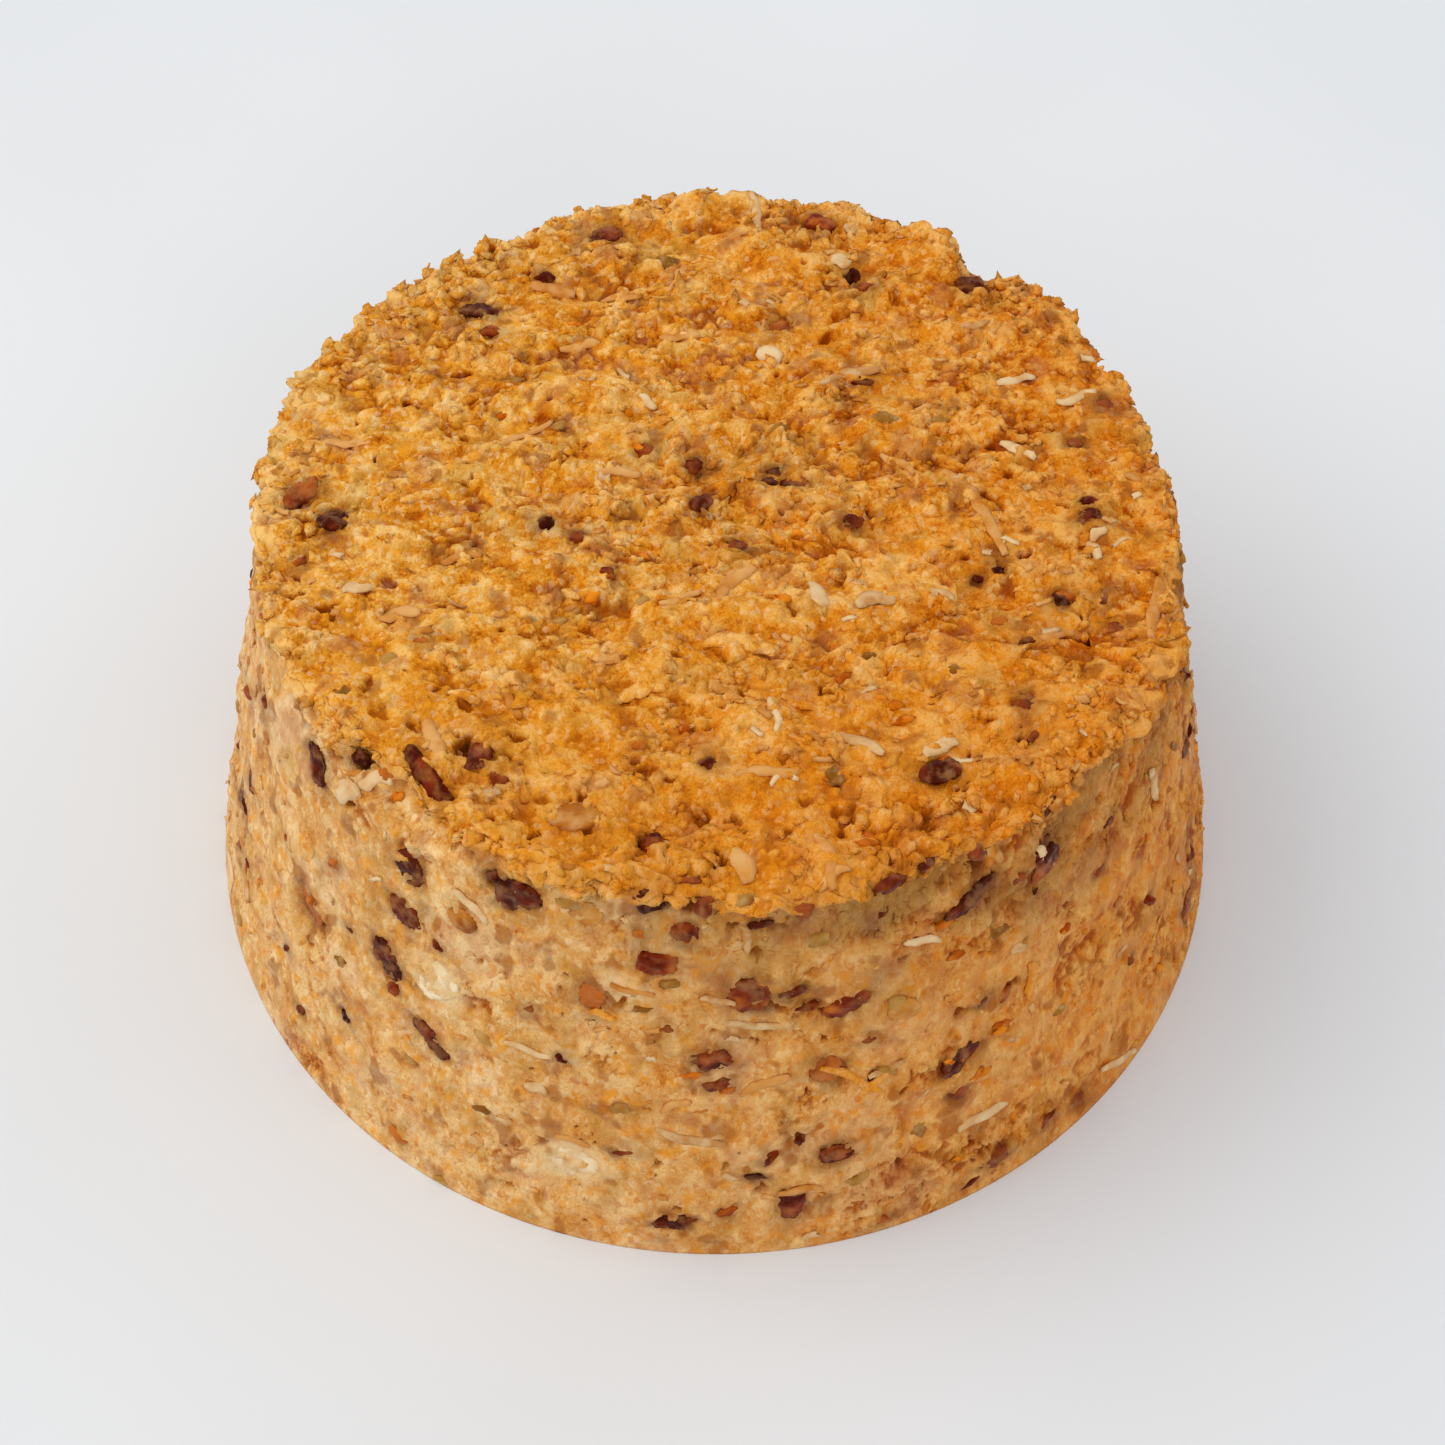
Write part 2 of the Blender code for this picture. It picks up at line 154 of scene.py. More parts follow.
for name, place, size, power, tint in (
    ("window", (-2.0, 0.2, 2.3), 2.4, 34, "fffdf8"),
    ("room_fill", (0.6, -2.0, 1.7), 2.2, 7, "fff6ea"),
):
    lamp = bpy.data.lights.new(name, "AREA")
    lamp.size = size
    lamp.energy = power
    lamp.color = linear(tint)[:3]
    light = bpy.data.objects.new(name, lamp)
    aim = (Vector((0, 0, 0.05)) - Vector(place)).to_track_quat("-Z", "Y")
    light.matrix_world = Matrix.Translation(Vector(place)) @ aim.to_matrix().to_4x4()
    bpy.context.scene.collection.objects.link(light)


# The crumb: a dense, moist batter baked in a tapered tin and turned out onto its wide end. The top
# was torn and scraped level, so it is streaked and clotted; the wall was pressed smooth by the tin.
BASE_RADIUS = 93.5 * MM
TOP_RADIUS = 77.0 * MM
HEIGHT = 88.0 * MM
TAPER = (BASE_RADIUS - TOP_RADIUS) / HEIGHT
ACROSS = 360
ROWS = 188
TOP_RELIEF = 2.2 * MM
SIDE_RELIEF = 1.0 * MM
LUMP = 8.0 * MM
STREAK = 2.0
BASE_EDGE = 7.0 * MM
RIM_WEAR = 1.2 * MM
RIM_ROUND = 2.5 * MM
RIM_LIPS = (
    (-62, 48, 1.6 * MM, 3.5 * MM),
    (-24, 17, 3.2 * MM, 7.0 * MM),
    (62, 6, 2.0 * MM, 3.0 * MM),
    (155, 26, 1.6 * MM, 4.0 * MM),
)
RIM_BREAKS = (
    (-131, 22, 7.5 * MM),
    (52, 7, 4.5 * MM),
    (12, 6, 2.5 * MM),
    (-172, 7, 3.0 * MM),
    (118, 6, 3.0 * MM),
)


def smooth_step(low, high, value):
    """0 below low, 1 above high, and an even slope between them."""
    share = min(1.0, max(0.0, (value - low) / (high - low)))
    return share * share * (3 - 2 * share)


def hump(angle, middle, spread):
    """1 at the middle angle, falling to 0 at spread degrees to either side."""
    away = abs((angle - middle + 180) % 360 - 180)
    return 1 - smooth_step(0, spread, away)


def coarse_crumb(point, normal):
    """The point of the plain tapered shape moved to where the uneven crumb lies."""
    flat = smooth_step(0.3, 0.8, normal.z)
    streaked = Vector((point.x / STREAK, point.y, point.z)) if flat > 0.5 else point
    lumps = noise.fractal(streaked / LUMP, 1.0, 2.1, 3)
    depth = TOP_RELIEF * flat + SIDE_RELIEF * (1 - flat)
    moved = point + normal * lumps * depth * smooth_step(0, BASE_EDGE, point.z)

    angle = math.degrees(math.atan2(point.y, point.x))
    outwards = Vector((point.x, point.y, 0)).normalized()
    below_top = HEIGHT - moved.z
    from_wall = BASE_RADIUS - TAPER * moved.z - math.hypot(moved.x, moved.y)
    broken = sum(depth * hump(angle, middle, spread) for middle, spread, depth in RIM_BREAKS)
    wear = RIM_WEAR * (1 + noise.noise(point / LUMP * 2)) + broken
    missing = wear - (max(0.0, from_wall) + max(0.0, below_top))
    if missing > 0:
        moved -= (outwards + Vector((0, 0, 1))) * missing / 2
    ragged = 1 + noise.noise(point / LUMP * 1.7) + 0.6 * noise.noise(point / (3 * MM))
    reach = sum(
        lip * hump(angle, middle, spread) * smooth_step(depth, 0.3 * depth, below_top)
        for middle, spread, lip, depth in RIM_LIPS
    )
    return moved + outwards * reach * ragged


def hashed(cells, seed):
    """A random number from 0 to 1 for each whole-number cell."""
    mixed = (cells[:, 0] * 73856093) ^ (cells[:, 1] * 19349663) ^ (cells[:, 2] * 83492791)
    mixed = (mixed ^ (mixed >> 13) ^ (seed * 60493)) * 1274126177
    mixed = (mixed ^ (mixed >> 15)) * 668265263
    return ((mixed ^ (mixed >> 16)) & 0xFFFFFF) / 0xFFFFFF


def soft_noise(points, size, seed, octaves=1):
    """Smooth noise from about -1 to 1 at many points, its lumps about a size across."""
    total, height = np.zeros(len(points)), 1.0
    for octave in range(octaves):
        spots = points / size * 2**octave + seed * 0.37
        corner = np.floor(spots).astype(np.int64)
        share = spots - corner
        share = share * share * (3 - 2 * share)
        for step in itertools.product((0, 1), repeat=3):
            weight = np.prod(np.abs(1 - np.array(step) - share), axis=1)
            total += height * weight * (hashed(corner + step, seed + octave) * 2 - 1)
        height *= 0.5
    return total * 1.3


def grain_cells(points, size, seed):
    """Distances to the nearest and the next of random seeds a size apart, in sizes, and a random
    number for each point's cell."""
    spots = points / size
    corner = np.floor(spots).astype(np.int64)
    near, tag = np.full(len(points), np.inf), np.zeros(len(points))
    next_near = near
    for step in itertools.product((-1, 0, 1), repeat=3):
        cell = corner + step
        seat = cell + np.stack([hashed(cell, seed + axis) for axis in range(3)], axis=1)
        distance = np.linalg.norm(spots - seat, axis=1)
        closer = distance < near
        next_near = np.where(closer, near, np.minimum(next_near, distance))
        near = np.where(closer, distance, near)
        tag = np.where(closer, hashed(cell, seed + 7), tag)
    return near, next_near, tag


def eased(low, high, values):
    """smooth_step for many values."""
    share = np.clip((values - low) / (high - low), 0, 1)
    return share * share * (3 - 2 * share)


WANDER = 0.8


def wandering(points, size, first_seed):
    """Offsets that bend the straight edges between a pattern's cells."""
    axes = [soft_noise(points, size, first_seed + axis, 2) for axis in range(3)]
    return np.stack(axes, axis=1) * WANDER * MM


def torn_relief(points):
    """Height of torn crumb at many points, and a random tone for each clump: flat scraps and
    clumps at odd levels, cracks between them, fine grains on them and small deep holes."""
    streaked = points * (0.78, 1, 1)
    warp = wandering(streaked, 1.7 * MM, 1)
    rough = eased(-0.5, 0.5, soft_noise(points, 8 * MM, 31, 2))
    near, next_near, tag = grain_cells(streaked + warp, 2.9 * MM, 11)
    small, _, small_tag = grain_cells(streaked + warp * 0.7, 1.3 * MM, 23)
    clots = 0.62 * MM * soft_noise(streaked, 4.6 * MM, 41, 2)
    plates = (1.1 * (0.45 - near) + 0.9 * (tag - 0.5)) * MM * (0.25 + 0.75 * rough)
    cracks = 0.5 * MM * (1 - eased(0.0, 0.25, next_near - near)) * (0.2 + 0.8 * rough)
    grains = (0.6 * (0.45 - small) + 0.3 * (small_tag - 0.5)) * MM * (0.45 + 0.55 * rough)
    hole, _, hole_tag = grain_cells(streaked * (0.8, 1, 1) + warp * 1.3, 4.8 * MM, 51)
    wide = 0.1 + 0.36 * hole_tag
    holes = 2.2 * MM * eased(1.0, 0.6, hole / wide) * (hole_tag < 0.42)
    return clots + plates - cracks + grains - holes, 0.5 * tag + 0.5 * small_tag


def pressed_relief(points):
    """Height of crumb that the tin pressed, and a random tone: a smooth paste with low swellings,
    small ragged holes, and torn patches where it stuck, more of them towards the right."""
    stretched = points * (1, 1, 0.75)
    warp = wandering(stretched, 1.6 * MM, 4)
    near, next_near, tag = grain_cells(stretched + warp, 2.2 * MM, 61)
    small, _, small_tag = grain_cells(stretched + warp * 0.5, 1.0 * MM, 71)
    stuck = 0.8 * soft_noise(points, 13 * MM, 81, 3) + 0.5 * eased(-20 * MM, 70 * MM, points[:, 0])
    stuck += 0.8 * eased(50 * MM, 72 * MM, points[:, 2]) * eased(-10 * MM, 30 * MM, points[:, 0])
    stuck = eased(0.3, 0.95, stuck)
    swell = (0.18 + 0.25 * stuck) * MM * soft_noise(points, 3.6 * MM, 91, 2)
    plates = (0.03 + 0.6 * stuck) * MM * (tag - 0.5)
    cracks = 0.4 * MM * stuck * (1 - eased(0.0, 0.3, next_near - near))
    grains = (0.3 * (0.45 - small) + 0.1 * (small_tag - 0.5)) * (0.3 + 1.3 * stuck) * MM
    hole, _, hole_tag = grain_cells(stretched + warp * 1.3, 5.2 * MM, 101)
    wide = 0.07 + 0.42 * hole_tag
    holes = 1.5 * MM * eased(1.0, 0.4, hole / wide) * (hole_tag < 0.24 + 0.2 * stuck)
    return swell + plates - cracks + grains - holes, 0.5 * tag + 0.5 * small_tag


shell = bmesh.new()
# The hollow layer carries painted shade and light for the crumb's colour
hollow_shade_of = shell.verts.layers.float.new("hollow")
torn_of = shell.verts.layers.float.new("torn")
stain_of = shell.verts.layers.float.new("stain")
clump_of = shell.verts.layers.float.new("clump")
bmesh.ops.create_grid(shell, x_segments=ACROSS, y_segments=ACROSS, size=1)
for vert in shell.verts:
    x, y = vert.co.x, vert.co.y
    round_x, round_y = x * math.sqrt(1 - y * y / 2), y * math.sqrt(1 - x * x / 2)
    vert.co = Vector((round_x * TOP_RADIUS, round_y * TOP_RADIUS, HEIGHT))
wall = bmesh.ops.create_grid(shell, x_segments=4 * ACROSS, y_segments=ROWS, size=1)["verts"]
for vert in wall:
    quarter, step = divmod(round((vert.co.x + 1) * 2 * ACROSS), ACROSS)
    along = 2 * step / ACROSS - 1
    x, y = ((along, -1), (1, along), (-along, 1), (-1, -along))[quarter % 4]
    height = HEIGHT * (1 + vert.co.y) / 2
    outwards = Vector((x * math.sqrt(1 - y * y / 2), y * math.sqrt(1 - x * x / 2), 0)).normalized()
    vert.co = outwards * (BASE_RADIUS - TAPER * height) + Vector((0, 0, height))
bmesh.ops.remove_doubles(shell, verts=shell.verts, dist=1e-6)

plain = np.array([vert.co for vert in shell.verts])
radius = np.hypot(plain[:, 0], plain[:, 1])
on_top = plain[:, 2] > HEIGHT - 1e-7
wall_normal = np.stack([plain[:, 0], plain[:, 1], TAPER * np.maximum(radius, 1e-6)], axis=1)
wall_normal /= np.linalg.norm(wall_normal, axis=1)[:, None]
upright = np.where(
    on_top,
    0.5 + 0.5 * eased(0, RIM_ROUND, TOP_RADIUS - radius),
    0.5 - 0.5 * eased(0, RIM_ROUND, HEIGHT - plain[:, 2]),
)[:, None]
outward = wall_normal * (1 - upright) + np.array([0, 0, 1]) * upright
outward /= np.linalg.norm(outward, axis=1)[:, None]
torn = eased(0.1, 0.5, outward[:, 2])
relief, clump = np.zeros(len(plain)), np.zeros(len(plain))
for kind_of_relief, share in ((torn_relief, torn), (pressed_relief, 1 - torn)):
    some = share > 0
    height, tone = kind_of_relief(plain[some])
    relief[some] += height * share[some]
    clump[some] += tone * share[some]
settled = eased(0, 2.5 * MM, plain[:, 2])
coarse = np.array(
    [coarse_crumb(Vector(p), Vector(n)) for p, n in zip(plain.tolist(), outward.tolist())]
)
near_rim = eased(3.5 * MM, 0.5 * MM, HEIGHT - plain[:, 2])
near_rim *= eased(TOP_RADIUS - 4 * MM, TOP_RADIUS, radius)
tatters, fine_tatters = soft_noise(plain, 3.4 * MM, 111, 2), soft_noise(plain, 1.4 * MM, 121)
tattered = near_rim * (0.5 + 1.3 * tatters + 0.6 * fine_tatters) * MM
radial = plain * (1, 1, 0) / np.maximum(radius, 1e-6)[:, None]
placed = coarse + outward * (relief * settled)[:, None] + radial * tattered[:, None]
# Painted shade and light: this value colours the crumb darker where it lies deep and lighter where
# it stands out, doubled on the wall, with a painted highlight along the rim's edge
raised = relief * (2.0 - torn) + 1.6 * near_rim * MM
for vert, place, height, share, tone in zip(
    shell.verts, placed.tolist(), raised.tolist(), torn.tolist(), clump.tolist()
):
    vert.co = place
    vert[hollow_shade_of] = -height / MM
    vert[torn_of] = share
    vert[clump_of] = tone
outward_of = [Vector(direction) for direction in outward.tolist()]
shell_tree = BVHTree.FromBMesh(shell)


def seen_on_crumb(across, down):
    """Where a point of the picture lies on the crumb, with the crumb's outward direction there."""
    place, normal, _, _ = shell_tree.ray_cast(eye, line_of_sight(across, down))
    return place, smoothed_outward(place)


def wall_place(angle, height):
    """A place on the wall at an angle in degrees and a height, with its outward direction."""
    heading = Vector((math.cos(math.radians(angle)), math.sin(math.radians(angle)), 0))
    place, _, _, _ = shell_tree.ray_cast(heading * 0.2 + Vector((0, 0, height)), -heading)
    return place, smoothed_outward(place)


def top_place(x, y):
    """A place on the top, with its outward direction."""
    place, _, _, _ = shell_tree.ray_cast(Vector((x, y, 0.2)), Vector((0, 0, -1)))
    return place, smoothed_outward(place)


def smoothed_outward(place):
    """The outward direction of the coarse crumb near a place, leaving out the fine relief: that
    of a ring of eight points on the surface round it."""
    total = Vector((0, 0, 0))
    across = Vector((-place.y, place.x, 0)).normalized()
    base = Vector((place.x, place.y, TAPER * math.hypot(place.x, place.y))).normalized()
    if place.z > HEIGHT - 3 * MM and math.hypot(place.x, place.y) < TOP_RADIUS - 3 * MM:
        base = Vector((0, 0, 1))
    uphill = base.cross(across)
    corners = []
    for turn in range(8):
        step = across * math.cos(turn * math.pi / 4) + uphill * math.sin(turn * math.pi / 4)
        beside = place + step * 2.2 * MM
        corners.append(shell_tree.ray_cast(beside + base * 6 * MM, -base, 14 * MM)[0] or beside)
    for first, second in zip(corners, corners[1:] + corners[:1]):
        total += (first - place).cross(second - place)
    total.normalize()
    return total if total.dot(base) > 0 else -total


def resting_frame(place, outward, along):
    """A frame at a place on the crumb: Z outwards, X along a direction as nearly as it can be."""
    level = (along - outward * along.dot(outward)).normalized()
    axes = Matrix((level, outward.cross(level), outward)).transposed().to_4x4()
    return Matrix.Translation(place) @ axes


# The raisins, dates, sultanas and nut pieces that are large enough to be parts of their own. Each
# is softened and wrinkled from its solid, which lies flush where the tin or the knife met it.
# None is let lower than just above the table.
LOWEST = 0.1 * MM
DARKEST = ("date_01", "date_03", "raisin_23")
fruit_points, fruit_staining, fruit_faces = [], [], []


def wrinkled(shape, depth, width):
    """Dents a skin and folds it into sharp furrows about a width apart, as dried fruit has."""
    shape.normal_update()
    moves = []
    for vert in shape.verts:
        furrow = max(0.0, 1 - 3 * abs(noise.fractal(vert.co / width, 0.9, 2.0, 2)))
        dent = noise.noise(vert.co / (2.2 * width) + Vector((5, 5, 5)))
        moves.append(vert.normal * depth * (1.3 * dent - furrow))
    for vert, move in zip(shape.verts, moves):
        vert.co += move


def add_copy(together, shape, frame_here):
    """Adds a shape to a bmesh at a frame, no part of it lower than the table, and frees it."""
    shape.transform(frame_here)
    for vert in shape.verts:
        vert.co.z = max(vert.co.z, LOWEST)
    passing = bpy.data.meshes.new("passing")
    shape.to_mesh(passing)
    shape.free()
    together.from_mesh(passing)
    bpy.data.meshes.remove(passing)


def note_fruit(shape, staining):
    """Remembers where a shape of fruit lies, for the crumb that has to make way for it."""
    first = len(fruit_points)
    fruit_points.extend(vert.co.copy() for vert in shape.verts)
    fruit_staining.extend([staining] * len(shape.verts))
    fruit_faces.extend(tuple(first + vert.index for vert in face.verts) for face in shape.faces)


def fruit_from_nodes(kind, furrow_depth, furrow_width, staining, finish, sunk=0.3 * MM):
    """One piece for all of a kind: each node's solid, rounded and wrinkled where it lies, with a
    tone of its own, the darkest for three near-black ones."""
    names = sorted(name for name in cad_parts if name.startswith(kind + "_"))
    together = bmesh.new()
    together.verts.layers.float.new("tone")
    for name in names:
        fruit = bmesh.new()
        fruit.from_mesh(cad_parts[name].data)
        tone_of = fruit.verts.layers.float.new("tone")
        bmesh.ops.remove_doubles(fruit, verts=fruit.verts, dist=1e-6)
        bmesh.ops.subdivide_edges(
            fruit, edges=fruit.edges[:], cuts=3, smooth=0.2, use_grid_fill=True
        )
        every_axis = {"use_axis_x": True, "use_axis_y": True, "use_axis_z": True}
        for _ in range(2):
            bmesh.ops.smooth_vert(fruit, verts=fruit.verts, factor=0.5, **every_axis)
        wrinkled(fruit, furrow_depth, furrow_width)
        middle = sum((vert.co for vert in fruit.verts), Vector()) / len(fruit.verts)
        on_top = middle.z > HEIGHT - 4 * MM
        inwards = -(Vector((0, 0, 1)) if on_top else Vector((middle.x, middle.y, 0)).normalized())
        bmesh.ops.translate(fruit, verts=fruit.verts, vec=inwards * sunk)
        tone = chance.random() * (name not in DARKEST)
        for vert in fruit.verts:
            vert[tone_of] = tone
        add_copy(together, fruit, Matrix.Identity(4))
    bmesh.ops.recalc_face_normals(together, faces=together.faces)
    note_fruit(together, staining)
    piece = piece_from(together, kind + "s", finish)
    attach(piece, "root")
    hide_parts(*names)


def skin_finish(name, tones, film, film_share, gloss, translucency=0.0):
    """Fruit skin or flesh: tones that wander over it and from piece to piece, a paler film of
    batter or sugar in patches, and fine wrinkles that break up its shine."""
    finish, tree, shader, here = new_finish(name)
    own = add_node(tree, "ShaderNodeAttribute", attribute_name="tone").outputs["Fac"]
    # Blotches 4 mm wide, the film in patches of 2 mm, and a grain of 0.5 mm
    blotch = add_node(tree, "ShaderNodeTexNoise", {"Vector": here, "Scale": 230.0, "Detail": 2.0})
    patches = add_node(tree, "ShaderNodeTexNoise", {"Vector": here, "Scale": 440.0, "Detail": 4.0})
    fine = add_node(tree, "ShaderNodeTexNoise", {"Vector": here, "Scale": 2000.0, "Detail": 1.0})
    shift = add_node(tree, "ShaderNodeMath", {0: own, 1: 0.44, 2: -0.22}, operation="MULTIPLY_ADD")
    level = add_node(
        tree, "ShaderNodeMath", {0: blotch.outputs[0], 1: shift.outputs[0]}, operation="ADD"
    )
    flesh = add_node(
        tree,
        "ShaderNodeValToRGB",
        {0: level.outputs[0]},
        stops=[(0.3, tones[0]), (0.72, tones[2]), (0.5, tones[1])],
    )
    filmed = add_node(
        tree, "ShaderNodeMapRange", {0: patches.outputs[0], 1: 0.46, 2: 0.68, 3: 0.0, 4: film_share}
    )
    colour = add_node(
        tree,
        "ShaderNodeMix",
        {0: filmed.outputs[0], 6: flesh.outputs[0], 7: linear(film)},
        data_type="RGBA",
    )
    rough = add_node(
        tree,
        "ShaderNodeMapRange",
        {0: patches.outputs[0], 1: 0.4, 2: 0.65, 3: gloss, 4: gloss + 0.25},
    )
    bump = add_node(
        tree, "ShaderNodeBump", {"Strength": 0.6, "Distance": 0.00012, "Height": fine.outputs[0]}
    )
    tree.links.new(colour.outputs[2], shader.inputs["Base Color"])
    tree.links.new(rough.outputs[0], shader.inputs["Roughness"])
    tree.links.new(bump.outputs[0], shader.inputs["Normal"])
    shader.inputs["IOR"].default_value = 1.44
    shader.inputs["Specular IOR Level"].default_value = 0.2
    shader.inputs["Specular Tint"].default_value = linear("e89a60")
    shader.inputs["Subsurface Weight"].default_value = translucency
    shader.inputs["Subsurface Radius"].default_value = (1.0, 0.45, 0.2)
    shader.inputs["Subsurface Scale"].default_value = 0.0012
    return finish


# Raisin: maroon to brown, moist, with a bloom of batter where it was cut or rubbed
raisin_skin = skin_finish(
    "moist_raisin_skin", ("420d04", "7c2c0e", "ba6222"), "b87e4c", 0.45, 0.25
)
fruit_from_nodes("raisin", 0.42 * MM, 1.2 * MM, 1.0, raisin_skin)

# Date: sticky red-brown flesh that glows amber where it is thin
date_flesh = skin_finish(
    "sticky_date_flesh", ("4a0b04", "84280a", "c46a1e"), "bc7a3c", 0.4, 0.22, 0.2
)
fruit_from_nodes("date", 0.3 * MM, 1.7 * MM, 0.7, date_flesh)

# Sultana: amber and half see-through, plumped by the batter
sultana_skin = skin_finish(
    "amber_sultana_skin", ("8c4610", "b0661e", "c88634"), "d4a468", 0.55, 0.25, 0.3
)
fruit_from_nodes("sultana", 0.26 * MM, 1.6 * MM, 0.3, sultana_skin)

# Blanched nut: pale cream, close-grained and matte
nut_flesh = skin_finish("blanched_nut", ("e2bc88", "edd09e", "f5e2ba"), "f8ecd0", 0.5, 0.42)
fruit_from_nodes("nut", 0.3 * MM, 2.2 * MM, -1.0, nut_flesh, 0.8 * MM)


# Scraps of fruit: torn skins, tiny raisins and bits of sultana, too small to be parts of their
# own, pressed into the crumb like the large ones and showing as ragged specks.
# Each is listed by its place in the picture, its length, width and turn, in mm and degrees.
DARK_SCRAPS = (
    (694, 466, 3.2, 3.0, 60), (702, 500, 4.0, 3.2, -10), (545, 521, 2.6, 2.8, 80),
    (577, 535, 3.0, 2.0, 20), (854, 273, 3.6, 2.8, -30), (1104, 405, 3.2, 2.8, 0),
    (1075, 443, 2.6, 2.2, 0), (775, 470, 3.4, 2.0, 40), (854, 521, 2.6, 3.4, 80),
    (737, 543, 3.0, 2.0, 0), (993, 571, 4.0, 1.8, 15), (980, 578, 2.4, 1.6, 0),
    (1033, 736, 2.6, 2.2, 0), (360, 760, 3.6, 2.4, -40), (708, 760, 2.6, 2.2, 0),
    (494, 877, 3.0, 3.4, 60), (647, 906, 5.0, 4.0, 10), (793, 994, 4.2, 1.8, 15),
    (345, 1017, 2.6, 2.2, 0), (1044, 845, 4.6, 2.6, 35), (1109, 822, 2.8, 2.4, 0),
    (983, 1002, 2.6, 2.0, 30), (960, 1094, 3.6, 3.2, 20), (838, 1155, 5.4, 2.4, 0),
    (757, 1178, 4.6, 2.0, -5), (1079, 1098, 3.4, 4.0, 70), (620, 1153, 3.4, 1.8, 0),
    (760, 925, 4.6, 1.6, 20), (930, 866, 3.4, 2.0, 30), (893, 887, 4.6, 2.6, 15),
    (979, 858, 3.0, 2.6, 40), (690, 880, 3.8, 2.0, 0), (705, 905, 3.0, 3.0, 60),
    (300, 1010, 2.2, 1.8, 0), (1100, 870, 2.4, 2.0, 50), (770, 480, 3.2, 2.4, 20),
    (1020, 880, 2.6, 1.8, 30), (997, 1157, 6.2, 3.6, 36), (1048, 1119, 4.6, 2.0, 56),
    (804, 911, 3.5, 2.2, 11), (1034, 890, 2.8, 1.8, 42), (883, 914, 2.8, 1.6, 61),
    (1048, 809, 5.0, 1.8, 52), (610, 232, 3.0, 2.4, 30), (865, 285, 3.0, 2.0, -20),
    (1104, 600, 2.2, 1.8, 60), (472, 760, 3.0, 2.6, 60), (1060, 600, 2.4, 3.0, 70),
)
RED_SCRAPS = (
    (545, 278, 3.6, 2.0, 0), (644, 450, 3.6, 2.6, 0), (606, 569, 2.4, 1.8, 0),
    (789, 227, 3.0, 2.0, 0), (862, 382, 5.0, 2.4, 0), (1090, 500, 2.2, 4.0, 80),
    (1066, 595, 2.4, 3.0, 70), (1114, 627, 4.0, 2.6, 0), (651, 839, 3.4, 3.0, 0),
    (610, 575, 2.0, 1.4, 30), (300, 560, 2.4, 1.6, 30), (716, 1086, 4.8, 2.8, 10),
    (437, 948, 2.8, 2.2, 0), (333, 864, 2.2, 3.0, 60), (287, 837, 2.0, 2.6, 70),
    (398, 1136, 4.0, 3.2, -40), (287, 948, 2.2, 2.6, 60), (1006, 995, 3.4, 1.8, 30),
    (972, 1182, 5.0, 1.8, 25), (884, 1220, 3.0, 2.6, 0), (727, 1213, 4.0, 2.0, 15),
    (870, 1040, 2.2, 1.6, 0), (668, 1030, 2.4, 1.4, 0), (530, 1010, 2.0, 1.6, 0),
    (350, 930, 2.0, 1.4, 0), (1150, 900, 2.4, 3.2, 70), (1130, 960, 2.0, 2.8, 60),
    (800, 1140, 3.0, 2.6, 60), (560, 1060, 2.4, 1.6, 0), (640, 935, 3.0, 2.0, 0),
    (730, 1090, 3.4, 1.6, 20), (420, 640, 2.2, 1.6, 0), (1030, 640, 3.0, 1.6, 20),
    (500, 780, 3.0, 3.4, 60), (385, 775, 2.6, 2.0, -20), (450, 560, 2.0, 1.6, 0),
    (490, 330, 3.4, 2.0, 10), (1000, 620, 2.6, 1.6, 0), (640, 745, 2.0, 1.6, 0),
    (392, 990, 2.4, 3.0, 70), (770, 1161, 4.4, 2.4, 66), (808, 1008, 3.8, 1.8, 7),
    (520, 900, 2.6, 1.8, 20), (310, 900, 2.4, 3.0, 60),
)
OLIVE_SCRAPS = (
    (667, 259, 4.4, 3.0, 20), (514, 380, 4.6, 2.4, 5), (556, 426, 4.8, 2.2, 20),
    (388, 659, 5.4, 2.4, 15), (886, 416, 4.6, 2.8, -15), (835, 775, 2.8, 3.2, 70),
    (340, 690, 2.8, 2.0, 0), (870, 655, 2.6, 1.6, 10), (955, 668, 2.6, 1.8, -20),
    (483, 1038, 5.6, 4.4, 0), (483, 1109, 4.4, 3.0, 0), (899, 1006, 4.2, 3.6, 0),
    (887, 1071, 3.4, 2.8, 0), (410, 1060, 3.4, 2.0, -40), (640, 1010, 4.4, 2.0, 10),
    (670, 985, 3.4, 1.8, 10), (1060, 1010, 2.8, 2.6, 40), (820, 940, 6.0, 3.0, 15),
    (745, 900, 4.4, 2.4, 10), (620, 1110, 4.4, 2.6, 10), (1000, 930, 4.0, 2.6, 30),
    (568, 905, 4.0, 3.0, 0), (860, 1180, 4.6, 2.4, 0), (440, 1180, 4.0, 2.4, -20),
    (920, 1130, 4.0, 3.0, 20), (340, 960, 3.0, 3.4, 60), (780, 425, 3.4, 2.0, 0),
    (640, 600, 3.4, 1.8, 20), (940, 420, 3.0, 2.0, 0), (560, 620, 3.0, 1.8, 10),
)
BACK_SCRAPS = 60


def squashed_ball(length, width, height):
    """A small angular scrap about the origin, long in X and flat in Z."""
    ball = bmesh.new()
    bmesh.ops.create_icosphere(ball, subdivisions=3, radius=0.5)
    offset = Vector([chance.uniform(-9, 9) for _ in range(3)])
    for vert in ball.verts:
        lumpy, rough = noise.noise(vert.co * 2.4 + offset), noise.noise(vert.co * 7 + offset)
        vert.co *= 1 + 0.55 * lumpy + 0.2 * rough
        vert.co = Vector((vert.co.x * length, vert.co.y * width, vert.co.z * height))
    return ball


def picture_heading(turn):
    """A direction turned from the picture's level, anticlockwise, in degrees."""
    turn = math.radians(turn)
    return view_right * math.cos(turn) + view_up * math.sin(turn)


